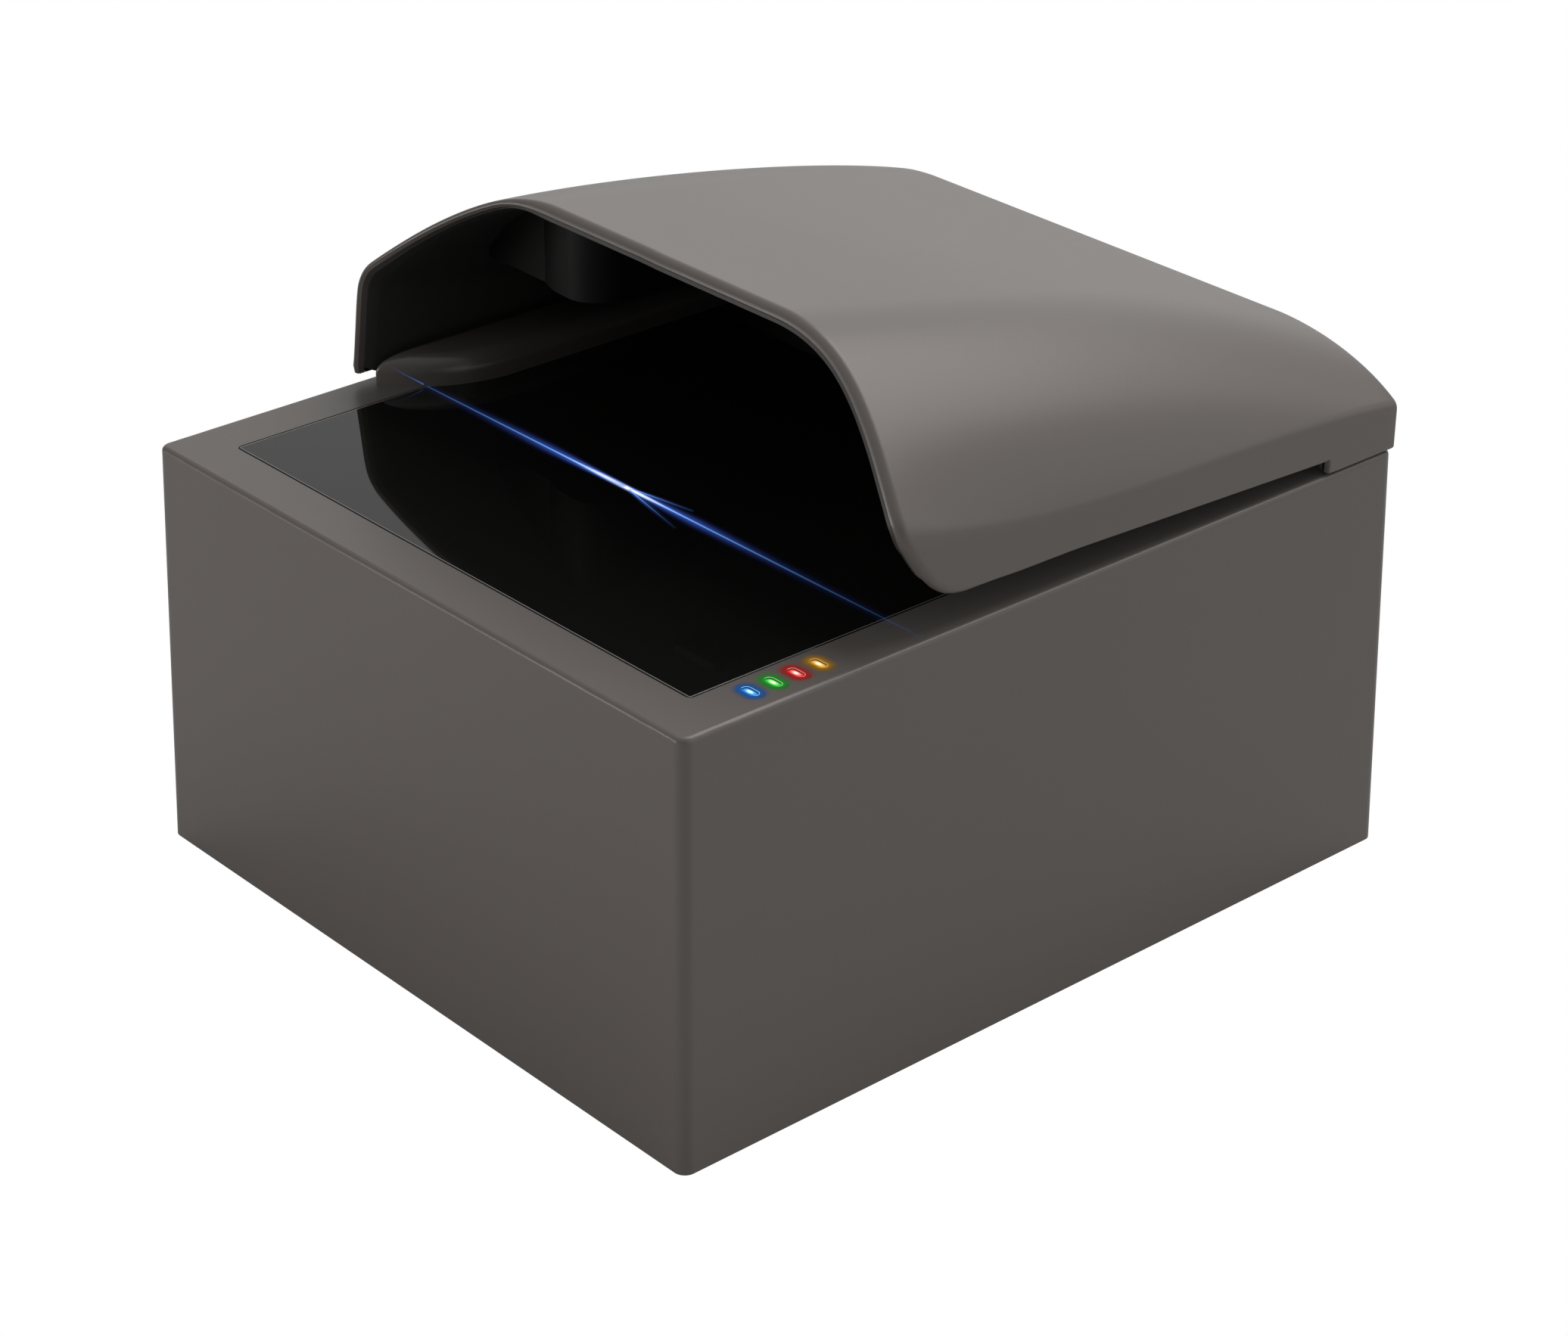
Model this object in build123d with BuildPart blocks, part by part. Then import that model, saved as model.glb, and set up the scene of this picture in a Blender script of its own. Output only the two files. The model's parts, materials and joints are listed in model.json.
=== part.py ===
"""Travel document scanner: a drafted housing with a reading window and a hinged hood.

Millimetres. X points to the user's right, Y from the front to the rear, Z up from the feet.
"""

import math
import os

from build123d import *

os.makedirs("parts", exist_ok=True)

# Housing
top_width = 165.8
top_depth = 190.0
draft = 1.94
base_level = 2.0
top_level = 93.06
wall = 2.4
corner_radius = 2.54
top_round = 1.09
inner_corner = 1.0
base_width = top_width + 2 * draft
base_depth = top_depth + 2 * draft
front = -top_depth / 2

# Reading window
glass_width = 142.4
glass_depth = 136.4
glass_thickness = 3.0
glass_y = front + 11.6 + glass_depth / 2
glass_corner = 1.2
glass_gap = 0.2
gasket_thickness = 0.5
ledge_width = 4.2
frame_width = 158.0
frame_depth = 147.0
frame_level = top_level - 6.0
seat_level = top_level - glass_thickness - gasket_thickness
gasket_gap = 0.4
glass_bevel = 0.2

# Status lamps
lamp_x = 76.5
lamp_first_y = front + 21.85
lamp_pitch = 5.53
lamp_length = 5.2
lamp_width = 2.4
lamp_recess = 0.45
lamp_bevel = 0.3
lamp_gap = 0.1
lamp_flange = 1.0
lamp_flange_thickness = 0.8
lamp_names = ("blue", "green", "red", "amber")
lamp_ys = [lamp_first_y + lamp_pitch * n for n in range(len(lamp_names))]
lamp_middle_y = sum(lamp_ys) / len(lamp_ys)
baffle_width = 8.6
baffle_depth = 34.0
baffle_x = 75.7
indicator_level = top_level - 10.56
indicator_thickness = 1.2
indicator_screw_y = 13.5
light_source = (2.0, 1.25, 0.8)
lamp_space_x = baffle_x + 4.0
lamp_space_width = baffle_width + 9.0
lamp_space_depth = baffle_depth + 2.0

# Hood surface, read from the front edge of the housing
hood_half = top_width / 2
hood_gap = 0.3
hood_front = 50.0
hood_run = 135.0
hood_back = 190.7
rear_lead = 20.0
roof_heights = (53.0, 44.2, 35.5, 21.7)
flat_half = (31.8, 37.6, 41.6, 49.5)
wall_heights = (20.8, 13.3, 11.6, 8.65)
crown_radius = (47.9, 61.2)
crown_sine = (0.483, 0.05)
edge_radius = (9.5, 3.0)
rear_round = 4.15
rear_corner = 1.3
least_round = 0.3
lip_points = ((50.1, -6.0), (50.3, 2.0), (51.6, 22.0), (57.6, 36.0), (64.6, 48.6), (71.3, 61.0))
lip_round = 1.6
lip_thickness = 2.2
lip_length = 0.8
shell_thickness = 1.5
liner_gap = 0.05
section_count = 13
left_gap = 1.7
skirt_y = 170.0
corner_top = 25.5
corner_points = ((52.7, 22.4), (55.8, 16.3), (59.5, 11.8), (64.1, 8.8))
slot_front = (70.5, 7.75)
slot_rear_height = 3.3
slot_reach = 12.0

# Hinges
hinge_x = 45.0
hinge_y = 93.6
hinge_z = 89.66
barrel_radius = 3.1
knuckle_length = 10.0
notch_width = 10.6
ear_span = 19.0
pin_diameter = 3.0
pin_length = 18.6
pin_press = 0.01
pin_fit = 0.06
block_drop = 5.6
block_depth = 7.0
block_height = 7.0
block_shift = 2.1
notch_drop = barrel_radius + 0.5
notch_depth = 11.2
notch_shift = 2.0
notch_height = 20.0

# Screws
m3_diameter = 3.0
m3_head = 5.6
m3_head_height = 1.4
m2_diameter = 2.0
m2_head = 3.6
m2_head_height = 1.2
thread_gap = 0.05
shank_gap = 0.2
small_shank_gap = 0.1
head_gap = 0.3
clearance = 0.4
base_screw_depth = 10.0
frame_screw_depth = 4.0
frame_screw_reach = 3.4
standoff_screw_depth = 5.0

# Base plate, feet and main board
plate_thickness = 2.4
plate_gap = 0.3
plate_corner = 1.5
screw_x = 77.0
screw_y = 89.0
post_size = 10.4
post_x = 78.2
post_y = 90.4
post_top = 30.0
foot_diameter = 14.0
foot_recess = 1.0
foot_gap = 0.1
foot_round = 0.6
foot_x = 64.0
foot_y = 76.0
board_width = 120.0
board_depth = 56.0
board_thickness = 1.6
board_y = 62.0
board_level = 10.0
board_hole_x = 54.0
board_hole_y = 22.0
standoff_diameter = 6.5
usb_x = -20.0
usb_width = 12.0
usb_height = 11.0
usb_depth = 16.0
power_x = 18.0
power_width = 9.0
power_height = 11.0
power_depth = 14.0
socket_face = 95.2
socket_bore = 9.5
usb_mouth = (8.5, 7.9)
usb_tongue = (5.6, 3.2)
power_bore = 3.1
power_pin = 1.0
power_bore_rise = 0.6
processor = (19.0, 19.0)
memory = (12.0, 8.0)
chip_height = 1.4
module = (26.0, 20.0)
module_height = 3.2
capacitor_radius = 3.2
capacitor_height = 7.0

# Optics
chassis_width = 141.2
chassis_depth = 142.0
chassis_wall = 1.8
chassis_shelf = 60.0
shelf_thickness = 2.0
flange_level = frame_level - 3.0
flange_thickness = 2.0
antenna_thickness = 1.0
funnel_top_width = 124.0
funnel_top_depth = 128.0
funnel_bottom = 56.0
funnel_level = 24.0
camera_size = 50.0
camera_level = 20.4
camera_hole = 24.0
camera_screw = 21.0
chassis_screw_x = 77.2
chassis_screw_ys = (-30.0, 40.0)
flange_inset = 1.0
funnel_foot = 4.0
strip_length = 120.0
strip_height = 16.0
strip_level = 64.0
strip_thickness = 1.2
strip_source = (3.5, 2.8, 0.9)
strip_rows_apart = 7.0
source_count = 8
diffuser_x = 64.8
diffuser_thickness = 1.5
diffuser_overlap = 12.0
sensor = (9.0, 8.0, 0.9)
holder_size = 16.0
holder_corner = 2.0
holder_base = 3.0
holder_height = 10.0
holder_radius = 7.6
holder_bore = 6.0
sensor_space = 10.5
sensor_space_height = 2.0
barrel_width = 5.95
barrel_start = 5.0
barrel_length = 8.0
cap_radius = 7.0
cap_start = 11.0
cap_length = 4.0
cap_bevel = 0.5
lens_bore = 4.6
lens_bore_depth = 10.0
element_radius = 4.55
element_start = 12.0
element_length = 4.0
dome_radius = 8.1
dome_rise = 15.4
cable_width = 12.0
cable_thickness = 0.3
cable_drop = 0.7
plug_depth = 4.0
plug_height = 1.8
plug_margin = 2.0

# Document guide, read from the front edge of the housing
guide_inner = -64.5
guide_outer = -79.3
guide_turn_y = 78.0
guide_turn_radius = 30.7
guide_stop_y = 140.0
guide_stop_width = 6.4
guide_right = 66.0
guide_height = 6.5
guide_round = 2.9
guide_nose = 2.4
guide_pin = 3.0
guide_pin_x = -75.4
guide_pin_ys = (-5.0, 30.0)
guide_pin_depth = 3.6
guide_hole_depth = 4.0

# Parts inside the hood
insert_front = 80.0
insert_rear = 136.0
insert_level = 22.8
insert_left = -75.0
insert_edge = -56.0
insert_right = -38.0
insert_bulge = 2.0
insert_round = 8.0
projector_x = -4.0
projector_y = 80.0
projector_width = 14.0
projector_depth = 8.0
projector_level = 42.6
projector_corner = 1.5
projector_bore = 1.9
projector_bore_depth = 1.5
projector_lens_radius = 1.85
projector_lens_rise = 0.3


def station_value(values, y):
    """Value at y on the cubic through four values at even stations along the hood."""
    step = 3.0 * (y - hood_front) / hood_run
    total = 0.0
    for i, value in enumerate(values):
        weight = 1.0
        for j in range(len(values)):
            if j != i:
                weight *= (step - j) / (i - j)
        total += weight * value
    return total


def between(ends, y):
    """Value that runs evenly from the hood's front to its rear."""
    return ends[0] + (ends[1] - ends[0]) * (y - hood_front) / hood_run


def hood_section(y, inset, floor):
    """Cross-section of the hood at y, drawn inwards by the inset, from the floor to the roof.

    The shoulder arc is the one that runs on from the crown arc and meets the edge arc smoothly.
    """
    flat = station_value(flat_half, y)
    roof = station_value(roof_heights, y)
    crown = between(crown_radius, y)
    edge = between(edge_radius, y)
    sine = between(crown_sine, y)
    cosine = math.sqrt(1.0 - sine * sine)
    run_x = flat + crown * sine - (hood_half - edge)
    run_z = roof - crown * (1.0 - cosine) - station_value(wall_heights, y)
    along = run_x * sine + run_z * cosine
    shoulder = (run_x**2 + run_z**2 - edge**2) / (2.0 * (along - edge))
    edge_angle = math.degrees(math.atan2(shoulder * sine - run_x, shoulder * cosine - run_z))
    crown_angle = math.degrees(math.asin(sine))
    top = top_level + roof - inset
    half = hood_half - inset
    with BuildSketch(Plane.XZ.offset(-(front + y))) as section:
        with BuildLine():
            Line((0, top), (flat, top))
            crown_arc = JernArc((flat, top), (1, 0), crown - inset, -crown_angle)
            shoulder_arc = JernArc(
                crown_arc @ 1, crown_arc % 1, shoulder - inset, crown_angle - edge_angle
            )
            edge_arc = JernArc(
                shoulder_arc @ 1, shoulder_arc % 1, edge - inset, edge_angle - 90
            )
            Line(edge_arc @ 1, (half, floor))
            Line((half, floor), (0, floor))
            mirror(about=Plane.YZ)
        make_face()
    return section.sketch


def side_outline(inset, lip_shift):
    """Side view of the hood: the leaning lip, the rounded rear edge and the open underside."""
    centre_y = hood_back - rear_round
    slope = station_value(roof_heights, centre_y) - station_value(roof_heights, centre_y + 1.0)
    lean = math.atan(slope)
    touch = station_value(roof_heights, centre_y + rear_round * math.sin(lean))
    centre_z = touch - rear_round * math.cos(lean)
    radius = rear_round - inset
    start = (centre_y + radius * math.sin(lean), centre_z + radius * math.cos(lean))
    lead = (start[0] - rear_lead * math.cos(lean), start[1] + rear_lead * math.sin(lean))
    lip = [(y + lip_shift, z) for y, z in lip_points]
    with BuildSketch(Plane.YZ) as outline:
        with BuildLine():
            Spline(lip)
            Line(lip[-1], lead)
            Line(lead, start)
            JernArc(start, (math.cos(lean), -math.sin(lean)), radius, math.degrees(lean) - 90)
            Line((hood_back - inset, centre_z), (hood_back - inset, lip[0][1]))
            Line((hood_back - inset, lip[0][1]), lip[0])
        make_face()
    return outline.sketch.moved(Location((0, front, top_level)))


def hood_form(inset, lip_shift, floor):
    """Solid inside the hood's surface, drawn inwards by the inset."""
    first = hood_front - 6.0
    last = hood_back + 1.0
    step = (last - first) / (section_count - 1)
    stations = [first + step * n for n in range(section_count)]
    sections = [hood_section(y, inset, floor) for y in stations]
    depth = hood_back - inset + 60.0
    corner = max(rear_corner - inset, least_round)
    with BuildPart() as form:
        loft(sections)
        extrude(side_outline(inset, lip_shift), amount=hood_half + 5.0, both=True, mode=Mode.INTERSECT)
        with BuildSketch(Plane.XY.offset(floor - 5.0)):
            with Locations((0, front + hood_back - inset - depth / 2)):
                RectangleRounded(2 * (hood_half - inset), depth, corner)
        extrude(amount=90.0, mode=Mode.INTERSECT)
    return form.part


def lip_spot(height):
    """Place and downward direction of the lip's side view at a height above the housing."""
    with BuildLine() as lip:
        Spline(lip_points)
    edge = lip.edge()
    low = 0.0
    high = 1.0
    for _ in range(40):
        middle = (low + high) / 2
        if edge.position_at(middle).Y < height:
            low = middle
        else:
            high = middle
    spot = edge.position_at(low)
    tangent = edge.tangent_at(low)
    return (spot.X, spot.Y), (-tangent.X, -tangent.Y)


def hood_edge_cuts():
    """Space below the hood's side walls: the tapered slot on the right and the gap on the left.

    The slot's front end turns up into the lip in one smooth curve.
    """
    low = -5.0
    ahead = hood_front - 10.0
    start, start_direction = lip_spot(corner_top)
    slot_end = (skirt_y, slot_rear_height)
    slot_direction = (slot_end[0] - slot_front[0], slot_end[1] - slot_front[1])
    with BuildPart() as cuts:
        with BuildSketch(Plane.YZ) as slot:
            with BuildLine():
                turn = [start, *corner_points, slot_front]
                Spline(turn, tangents=[start_direction, slot_direction])
                Line(slot_front, slot_end)
                Line(slot_end, (skirt_y, low))
                Line((skirt_y, low), (ahead, low))
                Line((ahead, low), (ahead, start[1]))
                Line((ahead, start[1]), start)
            make_face()
        shift = Location((hood_half - slot_reach, front, top_level))
        extrude(slot.sketch.moved(shift), amount=slot_reach + 8.0)
        with BuildSketch(Plane.YZ.offset(-hood_half - 8.0)):
            with Locations((front + skirt_y, top_level + left_gap)):
                Rectangle(140.0, 8.0, align=(Align.MAX, Align.MAX))
        extrude(amount=20.0)
    return cuts.part


def screw_set(places, seat, head, head_height, shank, tip, name):
    """Pan-head screws standing on the seat level, with their shanks running to the tip level."""
    up = 1 if tip > seat else -1
    with BuildPart() as screws:
        with BuildSketch(Plane.XY.offset(seat)):
            with Locations(*places):
                Circle(head / 2)
                RegularPolygon(head / 5, 6, mode=Mode.SUBTRACT)
        extrude(amount=-up * head_height)
        with BuildSketch(Plane.XY.offset(seat)):
            with Locations(*places):
                Circle(head / 2)
        extrude(amount=-up * head_height / 2)
        with BuildSketch(Plane.XY.offset(seat)):
            with Locations(*places):
                Circle(shank / 2)
        extrude(amount=tip - seat)
    screws.part.label = name
    export_step(screws.part, f"parts/{name}.step")


corner_places = [(x, y) for x in (-1, 1) for y in (-1, 1)]
base_screw_places = [(screw_x * x, screw_y * y) for x, y in corner_places]
board_screw_places = [(board_hole_x * x, board_y + board_hole_y * y) for x, y in corner_places]
camera_screw_places = [(camera_screw * x, glass_y + camera_screw * y) for x, y in corner_places]
chassis_screw_places = [(chassis_screw_x * x, y) for x in (-1, 1) for y in chassis_screw_ys]
lamp_screw_places = [(lamp_x, lamp_middle_y + indicator_screw_y * y) for y in (-1, 1)]
hinge_places = (-hinge_x, hinge_x)

# Housing shell
with BuildPart() as housing_shell:
    with BuildSketch(Plane.XY.offset(base_level)):
        RectangleRounded(base_width, base_depth, corner_radius)
    with BuildSketch(Plane.XY.offset(top_level)):
        RectangleRounded(top_width, top_depth, corner_radius)
    loft()
    fillet(housing_shell.faces().sort_by(Axis.Z)[-1].edges(), radius=top_round)
    with BuildSketch(Plane.XY.offset(base_level)):
        RectangleRounded(base_width - 2 * wall, base_depth - 2 * wall, inner_corner)
    with BuildSketch(Plane.XY.offset(top_level - wall)):
        RectangleRounded(top_width - 2 * wall, top_depth - 2 * wall, inner_corner)
    loft(mode=Mode.SUBTRACT)
    # Frame under the window
    with BuildSketch(Plane.XY.offset(frame_level)):
        with Locations((0, glass_y)):
            Rectangle(frame_width, frame_depth)
    extrude(amount=top_level - frame_level - wall / 2)
    with BuildSketch(Plane.XY.offset(top_level)):
        with Locations((0, glass_y)):
            RectangleRounded(
                glass_width + 2 * glass_gap, glass_depth + 2 * glass_gap, glass_corner + glass_gap
            )
    extrude(amount=seat_level - top_level, mode=Mode.SUBTRACT)
    with BuildSketch(Plane.XY.offset(top_level)):
        with Locations((0, glass_y)):
            Rectangle(glass_width - 2 * ledge_width, glass_depth - 2 * ledge_width)
    extrude(amount=frame_level - top_level, mode=Mode.SUBTRACT)
    # Lamp openings
    with BuildSketch(Plane.XY.offset(top_level)):
        with Locations(*[(lamp_x, y) for y in lamp_ys]):
            SlotOverall(lamp_length, lamp_width)
    extrude(amount=frame_level - top_level, mode=Mode.SUBTRACT)
    lamp_rims = (
        housing_shell.edges()
        .filter_by_position(Axis.Z, top_level - 0.01, top_level + 0.01)
        .filter_by_position(Axis.X, lamp_x - lamp_length / 2 - 0.1, lamp_x + lamp_length / 2 + 0.1)
    )
    chamfer(lamp_rims, length=lamp_bevel)
    # Corner posts for the base screws
    with BuildSketch(Plane.XY.offset(base_level + plate_thickness)):
        with Locations(*[(post_x * x, post_y * y) for x, y in corner_places]):
            Rectangle(post_size, post_size)
    extrude(amount=post_top - base_level - plate_thickness)
    with BuildSketch(Plane.XY.offset(base_level + plate_thickness)):
        with Locations(*base_screw_places):
            Circle(m3_diameter / 2 + thread_gap)
    extrude(amount=base_screw_depth, mode=Mode.SUBTRACT)
    # Holes for the guide's pins and the chassis screws
    with BuildSketch(Plane.XY.offset(top_level)):
        with Locations(*[(guide_pin_x, y) for y in guide_pin_ys]):
            Circle(guide_pin / 2 + thread_gap)
    extrude(amount=-guide_hole_depth, mode=Mode.SUBTRACT)
    with BuildSketch(Plane.XY.offset(frame_level)):
        with Locations(*chassis_screw_places):
            Circle(m3_diameter / 2 + thread_gap)
    extrude(amount=frame_screw_depth, mode=Mode.SUBTRACT)
    with BuildSketch(Plane.XY.offset(frame_level)):
        with Locations(*lamp_screw_places):
            Circle(m2_diameter / 2 + thread_gap)
    extrude(amount=frame_screw_depth, mode=Mode.SUBTRACT)
    # Hinge blocks with their ears, notches and pin bores
    with BuildSketch(Plane.XY.offset(hinge_z - block_drop)):
        with Locations(*[(x, hinge_y - block_shift) for x in hinge_places]):
            Rectangle(ear_span, block_depth)
    extrude(amount=block_height)
    for x in hinge_places:
        with BuildSketch(Plane.YZ.offset(x - ear_span / 2)):
            with Locations((hinge_y, hinge_z)):
                Circle(barrel_radius)
        extrude(amount=ear_span)
    with BuildSketch(Plane.XY.offset(hinge_z - notch_drop)):
        with Locations(*[(x, hinge_y + notch_shift) for x in hinge_places]):
            Rectangle(notch_width, notch_depth)
    extrude(amount=notch_height, mode=Mode.SUBTRACT)
    for x in hinge_places:
        with BuildSketch(Plane.YZ.offset(x - ear_span / 2)):
            with Locations((hinge_y, hinge_z)):
                Circle(pin_diameter / 2 + pin_press)
        extrude(amount=ear_span, mode=Mode.SUBTRACT)
    # Socket openings in the rear wall
    with BuildSketch(Plane.XZ.offset(-base_depth / 2 - 1.0)):
        with Locations((usb_x, board_level + board_thickness + usb_height / 2)):
            Rectangle(usb_width + clearance, usb_height + clearance)
        with Locations((power_x, board_level + board_thickness + power_height / 2)):
            Rectangle(power_width + clearance, power_height + clearance)
    extrude(amount=2.0 * wall + draft, mode=Mode.SUBTRACT)
housing_shell.part.label = "housing_shell"
export_step(housing_shell.part, "parts/housing_shell.step")

# Base plate with its board standoffs
with BuildPart() as base_plate:
    with BuildSketch(Plane.XY.offset(base_level)):
        plate_inset = 2 * (wall + plate_gap)
        RectangleRounded(base_width - plate_inset, base_depth - plate_inset, plate_corner)
    extrude(amount=plate_thickness)
    with BuildSketch(Plane.XY.offset(base_level + plate_thickness)):
        with Locations(*board_screw_places):
            Circle(standoff_diameter / 2)
    extrude(amount=board_level - base_level - plate_thickness)
    with BuildSketch(Plane.XY.offset(board_level)):
        with Locations(*board_screw_places):
            Circle(m3_diameter / 2 + thread_gap)
    extrude(amount=-standoff_screw_depth, mode=Mode.SUBTRACT)
    with BuildSketch(Plane.XY.offset(base_level)):
        with Locations(*[(foot_x * x, foot_y * y) for x, y in corner_places]):
            Circle(foot_diameter / 2 + foot_gap)
    extrude(amount=foot_recess, mode=Mode.SUBTRACT)
    with BuildSketch(Plane.XY.offset(base_level)):
        with Locations(*base_screw_places):
            Circle(m3_head / 2 + head_gap)
    extrude(amount=m3_head_height, mode=Mode.SUBTRACT)
    with BuildSketch(Plane.XY.offset(base_level)):
        with Locations(*base_screw_places):
            Circle(m3_diameter / 2 + shank_gap)
    extrude(amount=plate_thickness, mode=Mode.SUBTRACT)
base_plate.part.label = "base_plate"
export_step(base_plate.part, "parts/base_plate.step")

screw_set(
    base_screw_places,
    base_level + m3_head_height,
    m3_head,
    m3_head_height,
    m3_diameter,
    base_level + plate_thickness + base_screw_depth - 1.0,
    "base_screws",
)

# Rubber feet
with BuildPart() as rubber_feet:
    with BuildSketch():
        with Locations(*[(foot_x * x, foot_y * y) for x, y in corner_places]):
            Circle(foot_diameter / 2)
    extrude(amount=base_level + foot_recess)
    fillet(rubber_feet.faces().group_by(Axis.Z)[0].edges(), radius=foot_round)
rubber_feet.part.label = "rubber_feet"
export_step(rubber_feet.part, "parts/rubber_feet.step")

# Window gasket
with BuildPart() as platen_gasket:
    with BuildSketch(Plane.XY.offset(seat_level)):
        with Locations((0, glass_y)):
            Rectangle(glass_width - gasket_gap, glass_depth - gasket_gap)
            Rectangle(
                glass_width - 2 * (ledge_width - gasket_gap),
                glass_depth - 2 * (ledge_width - gasket_gap),
                mode=Mode.SUBTRACT,
            )
    extrude(amount=gasket_thickness)
platen_gasket.part.label = "platen_gasket"
export_step(platen_gasket.part, "parts/platen_gasket.step")

# Window glass
with BuildPart() as platen_glass:
    with BuildSketch(Plane.XY.offset(seat_level + gasket_thickness)):
        with Locations((0, glass_y)):
            RectangleRounded(glass_width, glass_depth, glass_corner)
    extrude(amount=glass_thickness)
    chamfer(platen_glass.faces().sort_by(Axis.Z)[-1].edges(), length=glass_bevel)
platen_glass.part.label = "platen_glass"
export_step(platen_glass.part, "parts/platen_glass.step")

# Document guide with its side wall, curved lead-in, rear stop and pins
with BuildPart() as document_guide:
    with BuildSketch(Plane.XY.offset(top_level)):
        with BuildLine():
            turn_x = guide_inner - guide_turn_radius
            reach = guide_outer - turn_x
            turn_angle = math.degrees(math.acos(reach / guide_turn_radius))
            stop_front = front + guide_stop_y
            stop_rear = stop_front + guide_stop_width
            turn_start = (guide_inner, front + guide_turn_y)
            lead_in = JernArc(turn_start, (0, -1), guide_turn_radius, -turn_angle)
            Line(lead_in @ 1, (guide_outer, stop_rear))
            Line((guide_outer, stop_rear), (guide_right, stop_rear))
            Line((guide_right, stop_rear), (guide_right, stop_front))
            Line((guide_right, stop_front), (guide_inner, stop_front))
            Line((guide_inner, stop_front), turn_start)
        make_face()
    extrude(amount=guide_height)
    nose = document_guide.edges().filter_by(Axis.Z).group_by(Axis.X)[0].sort_by(Axis.Y)[0]
    fillet(nose, radius=guide_nose)
    fillet(document_guide.faces().sort_by(Axis.Z)[-1].edges(), radius=guide_round)
    with BuildSketch(Plane.XY.offset(top_level)):
        with Locations(*[(guide_pin_x, y) for y in guide_pin_ys]):
            Circle(guide_pin / 2)
    extrude(amount=-guide_pin_depth)
document_guide.part.label = "document_guide"
export_step(document_guide.part, "parts/document_guide.step")

# Lamp lenses
for name, y in zip(lamp_names, lamp_ys):
    with BuildPart() as lens:
        with BuildSketch(Plane.XY.offset(frame_level)):
            with Locations((lamp_x, y)):
                SlotOverall(lamp_length - lamp_gap, lamp_width - lamp_gap)
        extrude(amount=top_level - lamp_recess - frame_level)
        with BuildSketch(Plane.XY.offset(frame_level)):
            with Locations((lamp_x, y)):
                SlotOverall(lamp_length + lamp_flange, lamp_width + lamp_flange)
        extrude(amount=-lamp_flange_thickness)
    lens.part.label = f"lamp_lens_{name}"
    export_step(lens.part, f"parts/lamp_lens_{name}.step")

# Light baffle under the lamps
baffle_level = indicator_level + indicator_thickness
with BuildPart() as lamp_baffle:
    with BuildSketch(Plane.XY.offset(baffle_level)):
        with Locations((baffle_x, lamp_middle_y)):
            Rectangle(baffle_width, baffle_depth)
    extrude(amount=frame_level - baffle_level)
    with BuildSketch(Plane.XY.offset(frame_level)):
        with Locations(*[(lamp_x, y) for y in lamp_ys]):
            SlotOverall(
                lamp_length + lamp_flange + 2 * lamp_gap, lamp_width + lamp_flange + 2 * lamp_gap
            )
    extrude(amount=-lamp_flange_thickness, mode=Mode.SUBTRACT)
    with BuildSketch(Plane.XY.offset(baffle_level)):
        with Locations(*[(lamp_x, y) for y in lamp_ys]):
            SlotOverall(lamp_length, lamp_width)
        with Locations(*lamp_screw_places):
            Circle(m2_diameter / 2 + small_shank_gap)
    extrude(amount=frame_level - baffle_level, mode=Mode.SUBTRACT)
lamp_baffle.part.label = "lamp_baffle"
export_step(lamp_baffle.part, "parts/lamp_baffle.step")

# Indicator board with its four light sources
with BuildPart() as indicator_board:
    with BuildSketch(Plane.XY.offset(indicator_level)):
        with Locations((baffle_x, lamp_middle_y)):
            Rectangle(baffle_width, baffle_depth)
        with Locations(*lamp_screw_places):
            Circle(m2_diameter / 2 + small_shank_gap, mode=Mode.SUBTRACT)
    extrude(amount=indicator_thickness)
    with BuildSketch(Plane.XY.offset(baffle_level)):
        with Locations(*[(lamp_x, y) for y in lamp_ys]):
            Rectangle(light_source[0], light_source[1])
    extrude(amount=light_source[2])
indicator_board.part.label = "indicator_board"
export_step(indicator_board.part, "parts/indicator_board.step")

screw_set(
    lamp_screw_places,
    indicator_level,
    m2_head,
    m2_head_height,
    m2_diameter,
    frame_level + frame_screw_reach,
    "indicator_screws",
)

# Antenna board around the window
with BuildPart() as antenna_board:
    with BuildSketch(Plane.XY.offset(frame_level - antenna_thickness)):
        with Locations((0, glass_y)):
            Rectangle(frame_width - flange_inset, frame_depth - flange_inset)
            Rectangle(
                glass_width - 2 * ledge_width + flange_inset,
                glass_depth - 2 * ledge_width + flange_inset,
                mode=Mode.SUBTRACT,
            )
        with Locations((lamp_space_x, lamp_middle_y)):
            Rectangle(lamp_space_width, lamp_space_depth, mode=Mode.SUBTRACT)
        with Locations(*chassis_screw_places):
            Circle(m3_diameter / 2 + shank_gap, mode=Mode.SUBTRACT)
    extrude(amount=antenna_thickness)
antenna_board.part.label = "antenna_board"
export_step(antenna_board.part, "parts/antenna_board.step")

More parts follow.
